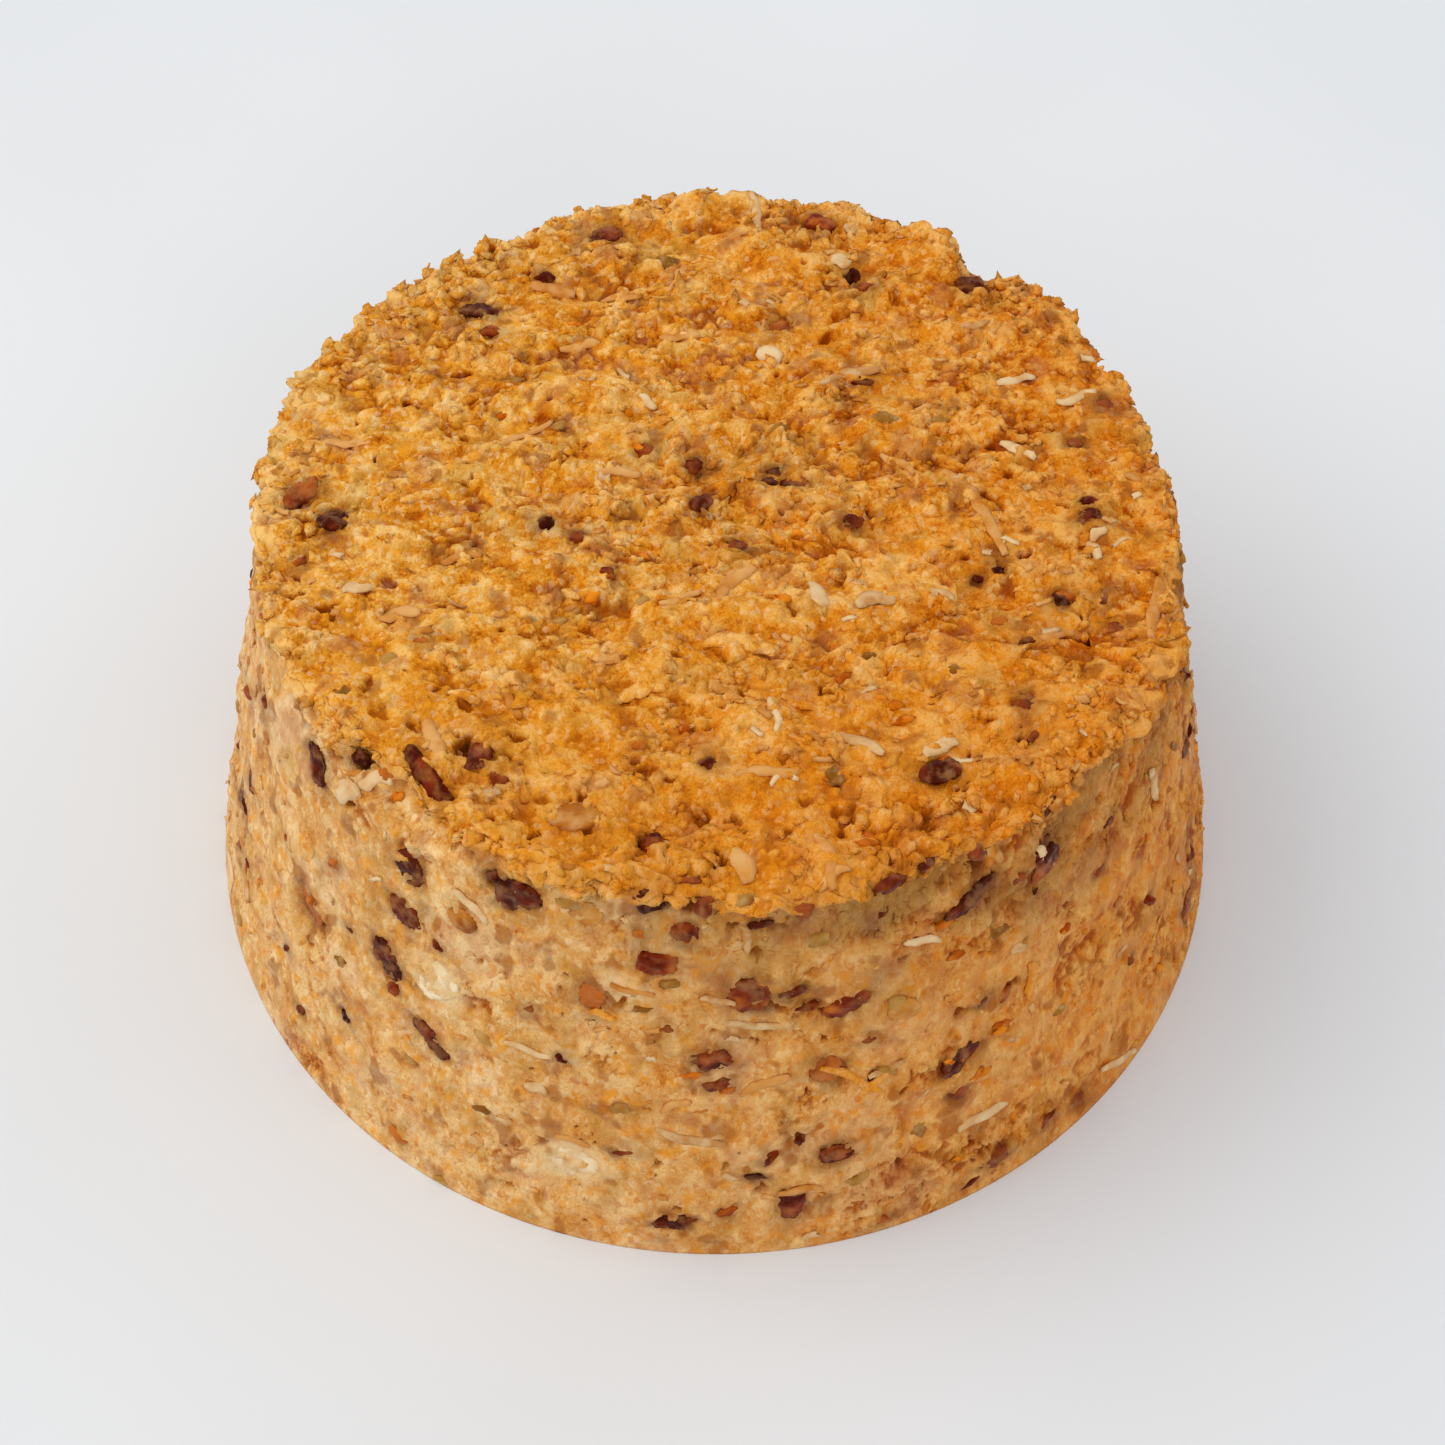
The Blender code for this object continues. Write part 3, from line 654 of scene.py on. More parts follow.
dark_skin = skin_finish("dark_raisin_skin", ("360a04", "642010", "98481f"), "a87850", 0.4, 0.22)
olive_skin = skin_finish("olive_sultana_skin", ("875216", "a4702a", "b98840"), "c8a068", 0.55, 0.3)
for group, listed, finish, slot, staining in (
    ("dark_scraps", DARK_SCRAPS, dark_skin, "raisin", 1.0),
    ("red_scraps", RED_SCRAPS, date_flesh, "date", 0.7),
    ("olive_scraps", OLIVE_SCRAPS, olive_skin, "sultana", 0.1),
):
    scraps = bmesh.new()
    scraps.verts.layers.float.new("tone")
    spots = [
        (*seen_on_crumb(across, down), picture_heading(turn), length, width)
        for across, down, length, width, turn in listed
    ]
    for _ in range(BACK_SCRAPS):
        place, outwards = wall_place(chance.uniform(-20, 202), chance.uniform(3, 84) * MM)
        heading = Vector((-outwards.y, outwards.x, chance.uniform(-0.8, 0.8)))
        spots.append((place, outwards, heading, chance.uniform(1.8, 4.6), chance.uniform(1.6, 2.8)))
    for place, outwards, heading, length, width in spots:
        ball = squashed_ball(length * MM, width * MM, 0.9 * width * MM)
        tone_of = ball.verts.layers.float.new("tone")
        tone = chance.random()
        for vert in ball.verts:
            vert[tone_of] = tone
        seat = place - outwards * 0.28 * width * MM
        add_copy(scraps, ball, resting_frame(seat, outwards, heading))
    note_fruit(scraps, staining)
    piece = piece_from(scraps, group, finish)
    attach(piece, "root")


# Ragged pits where a piece of fruit or a clump was pulled out, by place, width and depth in mm.
PITS = (
    (600, 240, 3.0, 2.0), (852, 277, 3.5, 2.5), (780, 322, 3.0, 1.8), (330, 522, 2.4, 1.5),
    (545, 522, 2.4, 2.0), (735, 541, 2.4, 2.0), (851, 520, 2.6, 2.0), (1060, 592, 2.8, 2.0),
    (465, 746, 5.0, 3.5), (363, 762, 3.6, 3.0), (345, 800, 2.6, 2.5), (332, 752, 2.6, 2.5),
    (493, 882, 3.6, 3.5), (580, 797, 2.6, 2.0), (694, 911, 4.0, 3.5), (891, 889, 4.4, 3.5),
    (978, 863, 4.2, 3.5), (649, 837, 3.4, 2.5), (1044, 852, 3.0, 2.0), (705, 760, 2.2, 1.8),
    (1022, 736, 2.4, 2.0), (942, 764, 3.0, 2.2), (660, 908, 2.4, 2.5), (775, 1008, 3.4, 2.0),
    (960, 1012, 2.8, 1.8), (872, 1078, 3.0, 1.8), (715, 1030, 2.2, 1.6), (1012, 985, 3.4, 2.0),
    (1066, 905, 2.6, 1.6), (560, 990, 1.8, 1.4), (480, 958, 1.6, 1.4), (620, 1002, 2.0, 1.4),
    (830, 1010, 2.4, 1.6), (905, 960, 2.2, 1.4), (1100, 800, 2.6, 1.8), (655, 1165, 2.2, 1.6),
    (760, 1190, 3.0, 1.8), (985, 1150, 2.6, 1.6), (540, 1142, 2.0, 1.4), (582, 821, 3.6, 1.6),
    (933, 461, 3.4, 1.4), (925, 818, 3.6, 1.8), (844, 815, 3.8, 1.8), (646, 777, 3.6, 1.4),
    (467, 702, 3.4, 1.6), (1006, 640, 3.0, 1.4), (705, 818, 2.8, 1.4), (388, 580, 3.2, 1.2),
    (745, 692, 2.8, 1.2), (377, 709, 2.8, 1.2), (792, 606, 2.8, 1.4), (807, 798, 2.6, 1.4),
    (1065, 374, 2.6, 1.3), (1062, 543, 2.6, 1.3), (826, 338, 2.6, 1.3), (622, 657, 2.4, 1.2),
    (543, 800, 2.8, 1.2), (594, 898, 2.6, 1.4), (949, 581, 2.4, 1.3), (775, 596, 2.4, 1.4),
    (790, 832, 2.6, 1.2), (587, 633, 2.4, 1.2), (441, 605, 2.6, 1.2), (663, 497, 2.2, 1.2),
    (381, 440, 2.4, 1.1), (368, 682, 2.6, 1.3), (772, 376, 2.2, 1.3), (1130, 511, 2.2, 1.2),
    (475, 511, 2.6, 1.3), (783, 759, 2.2, 1.2), (1022, 432, 2.2, 1.1), (675, 342, 2.0, 1.1),
    (562, 431, 2.2, 1.2), (1008, 473, 2.2, 1.2), (418, 723, 2.6, 1.5), (1159, 802, 3.4, 1.6),
    (1156, 968, 2.6, 1.4), (1175, 960, 2.4, 1.3), (1027, 939, 2.4, 1.5), (942, 884, 3.0, 1.6),
    (508, 1185, 2.4, 1.2), (724, 1167, 2.2, 1.2), (756, 957, 2.4, 1.5),
)
pit_tree = KDTree(len(PITS))
for index, (across, down, _, _) in enumerate(PITS):
    pit_tree.insert(seen_on_crumb(across, down)[0], index)
pit_tree.balance()
for vert, outwards in zip(shell.verts, outward_of):
    strayed = vert.co + noise.noise_vector(vert.co / (2.2 * MM)) * 1.5 * MM
    _, index, distance = pit_tree.find(strayed)
    width, depth = PITS[index][2] * MM, PITS[index][3] * MM
    if distance < width and vert.co.z > 3 * MM:
        ragged = 1 + 0.5 * noise.noise(vert.co / (0.9 * MM))
        sunk = depth * smooth_step(1.0, 0.6, 2 * distance / (width * ragged))
        vert.co -= outwards * sunk
        # Painted shade: a pit is coloured darker by its depth
        vert[hollow_shade_of] += sunk / MM


# The crumb makes way for each piece of fruit: it lies lower than the middle of the fruit, laps
# over its edge with its own grains, sinks in a thin gap in places, and is stained by its juice.
fruit_tree = BVHTree.FromPolygons(fruit_points, fruit_faces)
nearest_fruit = KDTree(len(fruit_points))
for index, place in enumerate(fruit_points):
    nearest_fruit.insert(place, index)
nearest_fruit.balance()
for vert, outwards, was in zip(shell.verts, outward_of, coarse.tolist()):
    _, index, distance = nearest_fruit.find(vert.co)
    if distance > 7 * MM:
        continue
    juice = math.exp(-distance / (2.1 * MM)) * fruit_staining[index]
    vert[stain_of] = juice * max(0.0, 0.7 + 0.9 * noise.noise(vert.co / (2.5 * MM)))
    if distance > 2 * MM or vert.co.z < 1 * MM:
        continue
    hit, _, _, fall = fruit_tree.ray_cast(Vector(was) + outwards * 5 * MM, -outwards, 9 * MM)
    height = (vert.co - Vector(was)).dot(outwards)
    if hit:
        fruit_height = 5 * MM - fall
        lap = 0.6 * noise.noise(vert.co / (1.3 * MM)) + 0.35 * noise.noise(vert.co / (3.0 * MM))
        lap += 0.2 * min(0.0, fruit_staining[index])
        bare = smooth_step(-0.55, -0.2, fruit_height / MM + lap)
        bare *= 1 - smooth_step(0.28, 0.45, noise.noise(vert.co / (1.6 * MM) + Vector((9, 2, 6))))
        lower = min(0.0, fruit_height - 0.45 * MM - height) * bare
    else:
        gap = smooth_step(-0.1, 0.35, noise.noise(vert.co / (2.6 * MM) + Vector((3, 1, 4))))
        lower = -0.6 * MM * gap * max(0.0, 1 - distance / (1.1 * MM))
    vert.co += outwards * lower
    # Painted shade: where the crumb sinks beside the fruit it is coloured darker
    vert[hollow_shade_of] -= 0.5 * lower / MM


# Crumb finish: a moist paste of ground nuts and batter, with painted shade that makes it deep
# orange in its hollows and painted light that makes it straw-gold where it stands out, paler and
# smoother where the tin pressed it, with a fine wet sparkle.
crumb, tree, shader, here = new_finish("moist_nut_meal_crumb")
hollow = add_node(tree, "ShaderNodeAttribute", attribute_name="hollow").outputs["Fac"]
torn_share = add_node(tree, "ShaderNodeAttribute", attribute_name="torn").outputs["Fac"]
stained = add_node(tree, "ShaderNodeAttribute", attribute_name="stain").outputs["Fac"]
clumps = add_node(tree, "ShaderNodeAttribute", attribute_name="clump").outputs["Fac"]


def layered(tone, layers):
    """Lays colours over a tone, each by a share that grows from 0 at low to its most at high."""
    for source, low, high, most, over in layers:
        share = add_node(tree, "ShaderNodeMapRange", {0: source, 1: low, 2: high, 3: 0.0, 4: most})
        mixed = add_node(
            tree, "ShaderNodeMix", {0: share.outputs[0], 6: tone, 7: linear(over)}, data_type="RGBA"
        )
        tone = mixed.outputs[2]
    return tone


def product_of(shares):
    """Shares multiplied together, each running from its value at low to its value at high."""
    total = 1.0
    for source, low, high, at_low, at_high in shares:
        share = add_node(
            tree, "ShaderNodeMapRange", {0: source, 1: low, 2: high, 3: at_low, 4: at_high}
        )
        product = add_node(
            tree, "ShaderNodeMath", {0: total, 1: share.outputs[0]}, operation="MULTIPLY"
        )
        total = product.outputs[0]
    return total


# Noise drawn out a little in height, as the view from above squashes the wall. In the order below:
# lumps of 15 mm, blotches of 3.5 mm, patches of 6 mm, bright spots of 2.4 mm, specks of 0.4 mm and
# smudges of 5 mm
stretched = add_node(tree, "ShaderNodeMapping", {0: here, 3: (1.0, 1.0, 0.65)}).outputs[0]
lumps, mottle, patch, bright, fine, smudge = (
    add_node(tree, "ShaderNodeTexNoise", {"Vector": source, "Scale": scale, "Detail": detail})
    for source, scale, detail in (
        (here, 65.0, 1.0),
        (stretched, 290.0, 2.0),
        (stretched, 170.0, 2.0),
        (stretched, 420.0, 1.0),
        (stretched, 2300.0, 1.0),
        (stretched, 210.0, 2.0),
    )
)
# Grains of meal 0.9 mm across, each with random tones of its own
meal = add_node(tree, "ShaderNodeTexVoronoi", {"Vector": stretched, "Scale": 1150.0})
meal_tones = add_node(tree, "ShaderNodeSeparateColor", {0: meal.outputs["Color"]})

level = add_node(
    tree, "ShaderNodeMath", {0: mottle.outputs[0], 1: 1.5, 2: -0.61}, operation="MULTIPLY_ADD"
)
for source, weight in (
    (fine.outputs[0], 0.8),
    (clumps, 0.1),
    (meal_tones.outputs[0], 0.2),
    # Painted shade and light: deeper crumb is made darker, raised crumb lighter
    (hollow, -0.28),
):
    level = add_node(
        tree,
        "ShaderNodeMath",
        {0: source, 1: weight, 2: level.outputs[0]},
        operation="MULTIPLY_ADD",
    )
torn_tone = add_node(
    tree,
    "ShaderNodeValToRGB",
    {0: level.outputs[0]},
    stops=[(0.0, "a04402"), (1.0, "f4c06e"), (0.25, "c56a07"), (0.5, "dd8b1c"), (0.75, "ebaa49")],
)
pressed_tone = add_node(
    tree,
    "ShaderNodeValToRGB",
    {0: level.outputs[0]},
    stops=[(0.0, "9c4c0c"), (1.0, "f1cb90"), (0.25, "ca8030"), (0.5, "dca058"), (0.75, "e8b46e")],
)
pressed = layered(
    pressed_tone.outputs[0],
    ((lumps.outputs[0], 0.52, 0.66, 0.4, "e6c8a0"), (lumps.outputs[0], 0.46, 0.34, 0.35, "c4843c")),
)
tone = add_node(
    tree, "ShaderNodeMix", {0: torn_share, 6: pressed, 7: torn_tone.outputs[0]}, data_type="RGBA"
).outputs[2]
tone = layered(
    tone,
    (
        # Yolk-yellow spots, pale grains that also serve as painted glints of wet sparkle, and
        # orange grains
        (bright.outputs[0], 0.55, 0.68, 0.7, "ec9a1c"),
        (meal_tones.outputs[1], 0.86, 0.9, 0.35, "f6dca8"),
        (meal_tones.outputs[2], 0.92, 0.95, 0.35, "c05a08"),
        # Painted shade: hollows are coloured a deep orange, and the deepest nearly black
        (hollow, 0.6, 1.3, 0.75, "a04604"),
        (hollow, 1.7, 3.0, 0.8, "4a1402"),
        # Olive, mauve and brown patches, where fruit shows through the paste
        (patch.outputs[0], 0.56, 0.68, 0.4, "b08238"),
        (patch.outputs[0], 0.43, 0.3, 0.5, "b8744a"),
        (smudge.outputs[0], 0.59, 0.67, 0.6, "93522a"),
        # Brown juice round dark fruit, and paler paste round nuts
        (stained, 0.05, 0.9, 0.75, "744628"),
        (stained, -0.05, -0.8, 0.8, "eed3a0"),
    ),
)
# Under the lip at the right the wall is greyer: partly painted shadow of the lip, partly fruit
# smeared through the batter
side = add_node(tree, "ShaderNodeSeparateXYZ", {0: here})
lip_shadow_and_fruit_share = product_of(
    (
        (side.outputs[2], 0.052, 0.076, 0.0, 0.8),
        (side.outputs[0], -0.025, 0.02, 0.0, 1.0),
        (torn_share, 0.6, 0.1, 0.0, 1.0),
        (lumps.outputs[0], 0.35, 0.6, 0.0, 1.0),
    )
)
# The colour of the painted lip shadow and the smeared fruit
lip_shadow_and_fruit_tone = layered(linear("8a5e3c"), [(patch.outputs[0], 0.42, 0.56, 1.0, "a88248")])
# The front of the top is a deeper orange
front_orange = product_of(((side.outputs[1], -0.015, -0.07, 0.0, 0.42), (torn_share, 0.0, 1.0, 0.0, 1.0)))
# Painted shade and warm bounced light: the right side is multiplied darker and more orange, the
# wall more than the top
right_side_painted_shade = product_of(((side.outputs[0], -0.04, 0.075, 0.0, 1.0), (torn_share, 0.0, 1.0, 0.85, 0.6)))
for share, over, blend in (
    (lip_shadow_and_fruit_share, lip_shadow_and_fruit_tone, "MIX"),
    (front_orange, linear("e08a1a"), "MIX"),
    (right_side_painted_shade, linear("f0c46a"), "MULTIPLY"),
):
    mixed = add_node(
        tree, "ShaderNodeMix", {0: share, 6: tone, 7: over}, data_type="RGBA", blend_type=blend
    )
    tone = mixed.outputs[2]

bump_height = add_node(
    tree,
    "ShaderNodeMath",
    {0: meal.outputs["Distance"], 1: -0.6, 2: fine.outputs[0]},
    operation="MULTIPLY_ADD",
)
bump = add_node(
    tree, "ShaderNodeBump", {"Strength": 0.9, "Distance": 0.0003, "Height": bump_height.outputs[0]}
)
wet = add_node(tree, "ShaderNodeMapRange", {0: fine.outputs[0], 1: 0.35, 2: 0.6, 3: 0.34, 4: 0.62})
tree.links.new(tone, shader.inputs["Base Color"])
tree.links.new(wet.outputs[0], shader.inputs["Roughness"])
tree.links.new(bump.outputs[0], shader.inputs["Normal"])
shader.inputs["IOR"].default_value = 1.42
shader.inputs["Specular IOR Level"].default_value = 0.2
shader.inputs["Specular Tint"].default_value = linear("f4b060")


def closed_part(name, wanted):
    """The faces of the shell that are wanted, closed towards the middle of the base."""
    part = shell.copy()
    spare = [face for face, keep in zip(part.faces, wanted) if not keep]
    bmesh.ops.delete(part, geom=spare, context="FACES")
    for face in part.faces:
        face.smooth = True
    edge = [e for e in part.edges if e.is_boundary]
    drawn = bmesh.ops.extrude_edge_only(part, edges=edge)["geom"]
    for face in (made for made in drawn if isinstance(made, bmesh.types.BMFace)):
        face.smooth = False
    middle = [made for made in drawn if isinstance(made, bmesh.types.BMVert)]
    bmesh.ops.pointmerge(part, verts=middle, merge_co=(0, 0, 0))
    mesh = bpy.data.meshes.new(name)
    part.to_mesh(mesh)
    part.free()
    piece = new_piece(mesh, name, crumb)
    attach(piece, "root")
    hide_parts("cake")


# One solid lump of crumb, in five parts only to keep each within what a mesh file holds
top_faces = ACROSS * ACROSS
face_angles = []
for face in shell.faces:
    middle = face.calc_center_median()
    face_angles.append(math.degrees(math.atan2(middle.y, middle.x)))
for name, top, start, end in (
    ("crumb_top_front", True, -180, 0),
    ("crumb_top_back", True, 0, 180),
    ("crumb_wall_front", False, -160, -50),
    ("crumb_wall_right", False, -50, 80),
    ("crumb_wall_left", False, 80, 200),
):
    closed_part(
        name,
        [
            (index < top_faces) == top and (angle - start) % 360 < end - start
            for index, angle in enumerate(face_angles)
        ],
    )


# Loose crumbs of the same meal, torn up and still clinging: most on the top and along the rim.
# Each is a lump of a few dozen faces, half sunk, so that it reads as part of the surface.
CLINGING_LUMPS = 1800
LUMP_KINDS = 14
FLAKE_KINDS = 12


def scattered(name, templates, places, finish):
    """Copies of a few small shapes, each at its own frame, as one piece."""
    points, faces, torns, clumps_here = [], [], [], []
    count = 0
    for which, frame_here, torn_here in places:
        shape_points, shape_faces = templates[which]
        turned = shape_points @ np.array(frame_here.to_3x3()).T + np.array(frame_here.translation)
        turned[:, 2] = np.maximum(turned[:, 2], LOWEST)
        points.append(turned)
        faces.append(shape_faces + count)
        torns.extend([torn_here] * len(turned))
        clumps_here.extend([chance.random()] * len(turned))
        count += len(turned)
    mesh = bpy.data.meshes.new(name)
    mesh.from_pydata(np.concatenate(points).tolist(), [], np.concatenate(faces).tolist())
    mesh.attributes.new("torn", "FLOAT", "POINT").data.foreach_set("value", torns)
    mesh.attributes.new("clump", "FLOAT", "POINT").data.foreach_set("value", clumps_here)
    mesh.attributes.new("tone", "FLOAT", "POINT").data.foreach_set("value", clumps_here)
    mesh.shade_smooth()
    piece = new_piece(mesh, name, finish)
    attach(piece, "root")


def as_template(shape):
    """A bmesh as points and triangles, to be copied many times."""
    bmesh.ops.triangulate(shape, faces=shape.faces[:])
    bmesh.ops.recalc_face_normals(shape, faces=shape.faces[:])
    points = np.array([vert.co for vert in shape.verts])
    faces = np.array([[vert.index for vert in face.verts] for face in shape.faces])
    shape.free()
    return points, faces


def torn_lump():
    """An uneven lump of crumb about 1 across."""
    lump = bmesh.new()
    bmesh.ops.create_cube(lump, size=0.75)
    bmesh.ops.subdivide_edges(lump, edges=lump.edges[:], cuts=1, smooth=0.8, use_grid_fill=True)
    offset = Vector([chance.uniform(-9, 9) for _ in range(3)])
    for vert in lump.verts:
        vert.co *= 1 + 0.8 * noise.noise(vert.co * 2.3 + offset) + chance.uniform(-0.12, 0.12)
    return as_template(lump)


def torn_flake():
    """A thin torn flake about 1 long and 0.6 wide, slightly curled."""
    slab = bmesh.new()
    bmesh.ops.create_grid(slab, x_segments=4, y_segments=2, size=0.5)
    offset = Vector([chance.uniform(-9, 9) for _ in range(3)])
    curl = chance.uniform(-0.6, 0.6)
    for vert in slab.verts:
        ragged = noise.noise_vector(vert.co * 4 + offset) * 0.28
        height = curl * vert.co.x**2 + 0.1 * ragged.z
        vert.co = Vector((vert.co.x + ragged.x, vert.co.y * 0.6 + ragged.y, height))
    top = bmesh.ops.extrude_face_region(slab, geom=slab.faces[:])["geom"]
    raised = [made for made in top if isinstance(made, bmesh.types.BMVert)]
    bmesh.ops.translate(slab, verts=raised, vec=(0, 0, 0.13))
    return as_template(slab)


shell.normal_update()
shell.verts.ensure_lookup_table()
vertex_count = len(shell.verts)
lump_shapes = [torn_lump() for _ in range(LUMP_KINDS)]
flake_shapes = [torn_flake() for _ in range(FLAKE_KINDS)]
lump_places = []
while len(lump_places) < CLINGING_LUMPS:
    vert = shell.verts[chance.randrange(vertex_count)]
    flat = vert[torn_of]
    by_rim = vert.co.z > HEIGHT - 4 * MM and math.hypot(vert.co.x, vert.co.y) > TOP_RADIUS - 5 * MM
    likely = 1.0 if by_rim else 0.35 + 0.5 * flat * (noise.noise(vert.co / (9 * MM)) + 0.2)
    likely = likely if flat > 0.5 or by_rim else 0.1
    if chance.random() > likely or vert.co.z < 2 * MM or nearest_fruit.find(vert.co)[2] < 1.2 * MM:
        continue
    size = chance.triangular(0.6, 1.9 if flat > 0.5 or by_rim else 1.0, 0.9) * MM
    frame_here = (
        Matrix.Translation(vert.co - vert.normal * size * chance.uniform(0.0, 0.3))
        @ vert.normal.to_track_quat("Z", "Y").to_matrix().to_4x4()
        @ Matrix.Rotation(chance.uniform(0, 6.28), 4, "Z")
        @ Matrix.Rotation(chance.uniform(-0.6, 0.6), 4, "X")
    )
    length, height = size * chance.uniform(1.0, 1.8), size * chance.uniform(0.6, 1.0)
    frame_here = frame_here @ Matrix.Diagonal((length, size, height, 1))
    lump_places.append((chance.randrange(len(lump_shapes)), frame_here, flat))
scattered("clinging_crumbs", lump_shapes, lump_places, crumb)


# Grated shreds and flakes baked in with the batter, mostly about 2 mm wide, lying flat in the
# surface with an end lifted here and there: cream and peach ones of fruit and nut, and golden ones
# of the crumb itself. Each is listed by its two ends in the picture, its width and bend in mm.
CREAM_SHREDS = (
    (840, 733, 884, 755, 2.0, 0.3), (818, 380, 880, 368, 1.8, 0.5),
    (997, 386, 1035, 377, 1.8, 0.4), (1057, 403, 1095, 392, 2.0, -0.4),
    (855, 607, 895, 600, 2.8, 0.8), (812, 583, 824, 605, 2.8, 0.2), (342, 590, 372, 588, 2.4, 0.6),
    (758, 352, 782, 360, 3.2, 0.2), (476, 792, 500, 792, 2.0, 0.2), (338, 796, 362, 786, 4.0, 0.4),
    (358, 786, 392, 780, 2.4, 0.5), (925, 755, 957, 742, 2.4, 0.5), (770, 785, 798, 778, 1.6, 1.4),
    (655, 1128, 725, 1140, 1.9, -1.2), (958, 1130, 1008, 1104, 2.2, 0.4),
    (1103, 1072, 1137, 1052, 2.0, 0.3), (722, 1020, 792, 1026, 1.6, -0.4),
    (903, 943, 940, 938, 1.8, 0.2), (525, 1085, 548, 1091, 2.4, 0.2),
    (740, 925, 745, 950, 1.5, 0.8), (700, 1000, 735, 1005, 1.4, 0.3),
    (1150, 770, 1158, 800, 2.4, 0.2), (750, 205, 758, 235, 1.8, 0.3),
    (960, 330, 990, 322, 1.6, 0.2), (1000, 440, 1035, 455, 1.8, 0.3),
    (930, 590, 955, 600, 1.6, 0.2), (1085, 540, 1100, 560, 2.0, 0.3),
    (455, 888, 488, 922, 1.8, 0.2), (505, 1038, 552, 1058, 1.4, -0.3),
    (1040, 850, 1052, 865, 2.0, 0.2), (870, 1080, 905, 1062, 1.6, 0.2),
    (1010, 950, 1025, 945, 2.2, 0.1), (832, 258, 850, 266, 3.0, 0.1),
    (1090, 540, 1105, 528, 1.6, 0.2), (770, 700, 778, 730, 1.4, 0.4),
    (640, 395, 655, 410, 1.6, 0.2),
)
PEACH_SHREDS = (
    (943, 471, 1004, 554, 2.4, 1.5), (497, 448, 553, 422, 1.4, 0.4),
    (1157, 580, 1148, 640, 2.6, 0.4), (325, 447, 372, 449, 2.0, 0.5),
    (388, 337, 418, 337, 2.0, 0.3), (735, 775, 800, 772, 1.8, 0.2), (816, 832, 832, 885, 2.0, 0.8),
    (733, 850, 748, 885, 3.6, 0.5), (820, 892, 850, 868, 1.8, 1.0),
    (778, 1194, 822, 1186, 1.9, 0.2), (660, 1112, 690, 1100, 1.6, 0.3),
    (555, 1135, 590, 1147, 1.6, 0.2), (610, 985, 655, 995, 1.3, -0.3),
    (740, 1095, 790, 1075, 2.0, 0.3), (660, 340, 700, 335, 1.8, 0.3),
    (600, 300, 640, 292, 1.8, 0.4), (530, 285, 575, 297, 2.6, 0.3), (880, 455, 915, 470, 1.6, 0.2),
    (440, 560, 480, 552, 1.8, 0.3), (500, 690, 520, 720, 1.8, 0.3), (425, 720, 440, 760, 2.6, 0.3),
    (718, 600, 762, 562, 2.4, 1.0), (380, 618, 420, 610, 2.4, 0.3), (600, 470, 640, 476, 1.8, 0.2),
    (560, 350, 600, 342, 1.8, 0.2), (1040, 640, 1075, 632, 1.8, 0.3),
    (700, 590, 660, 604, 1.6, 0.3),
)
GOLDEN_SHREDS = (
    (704, 640, 775, 652, 3.2, 1.5), (862, 1095, 893, 1068, 1.8, 0.4),
    (1030, 960, 1028, 1000, 2.0, 0.5), (820, 1065, 880, 1090, 1.6, 0.3),
    (590, 1010, 615, 1020, 1.8, 0.2), (905, 640, 940, 632, 1.6, 0.3),
    (400, 500, 440, 495, 1.8, 0.4), (620, 700, 665, 688, 2.6, 0.9), (580, 655, 620, 660, 2.2, 0.3),
    (450, 690, 480, 700, 1.8, 0.3), (780, 700, 820, 712, 1.8, 0.4), (650, 672, 640, 700, 2.2, 0.4),
    (540, 600, 580, 596, 2.0, 0.5), (690, 548, 720, 540, 2.6, 0.3), (500, 850, 560, 866, 2.0, 0.3),
    (1095, 730, 1120, 715, 2.6, 0.3), (470, 815, 500, 840, 2.4, 0.3),
    (610, 868, 660, 876, 2.0, 0.3),
)
BACK_SHREDS = 16
SHRED_THICK = 0.8 * MM


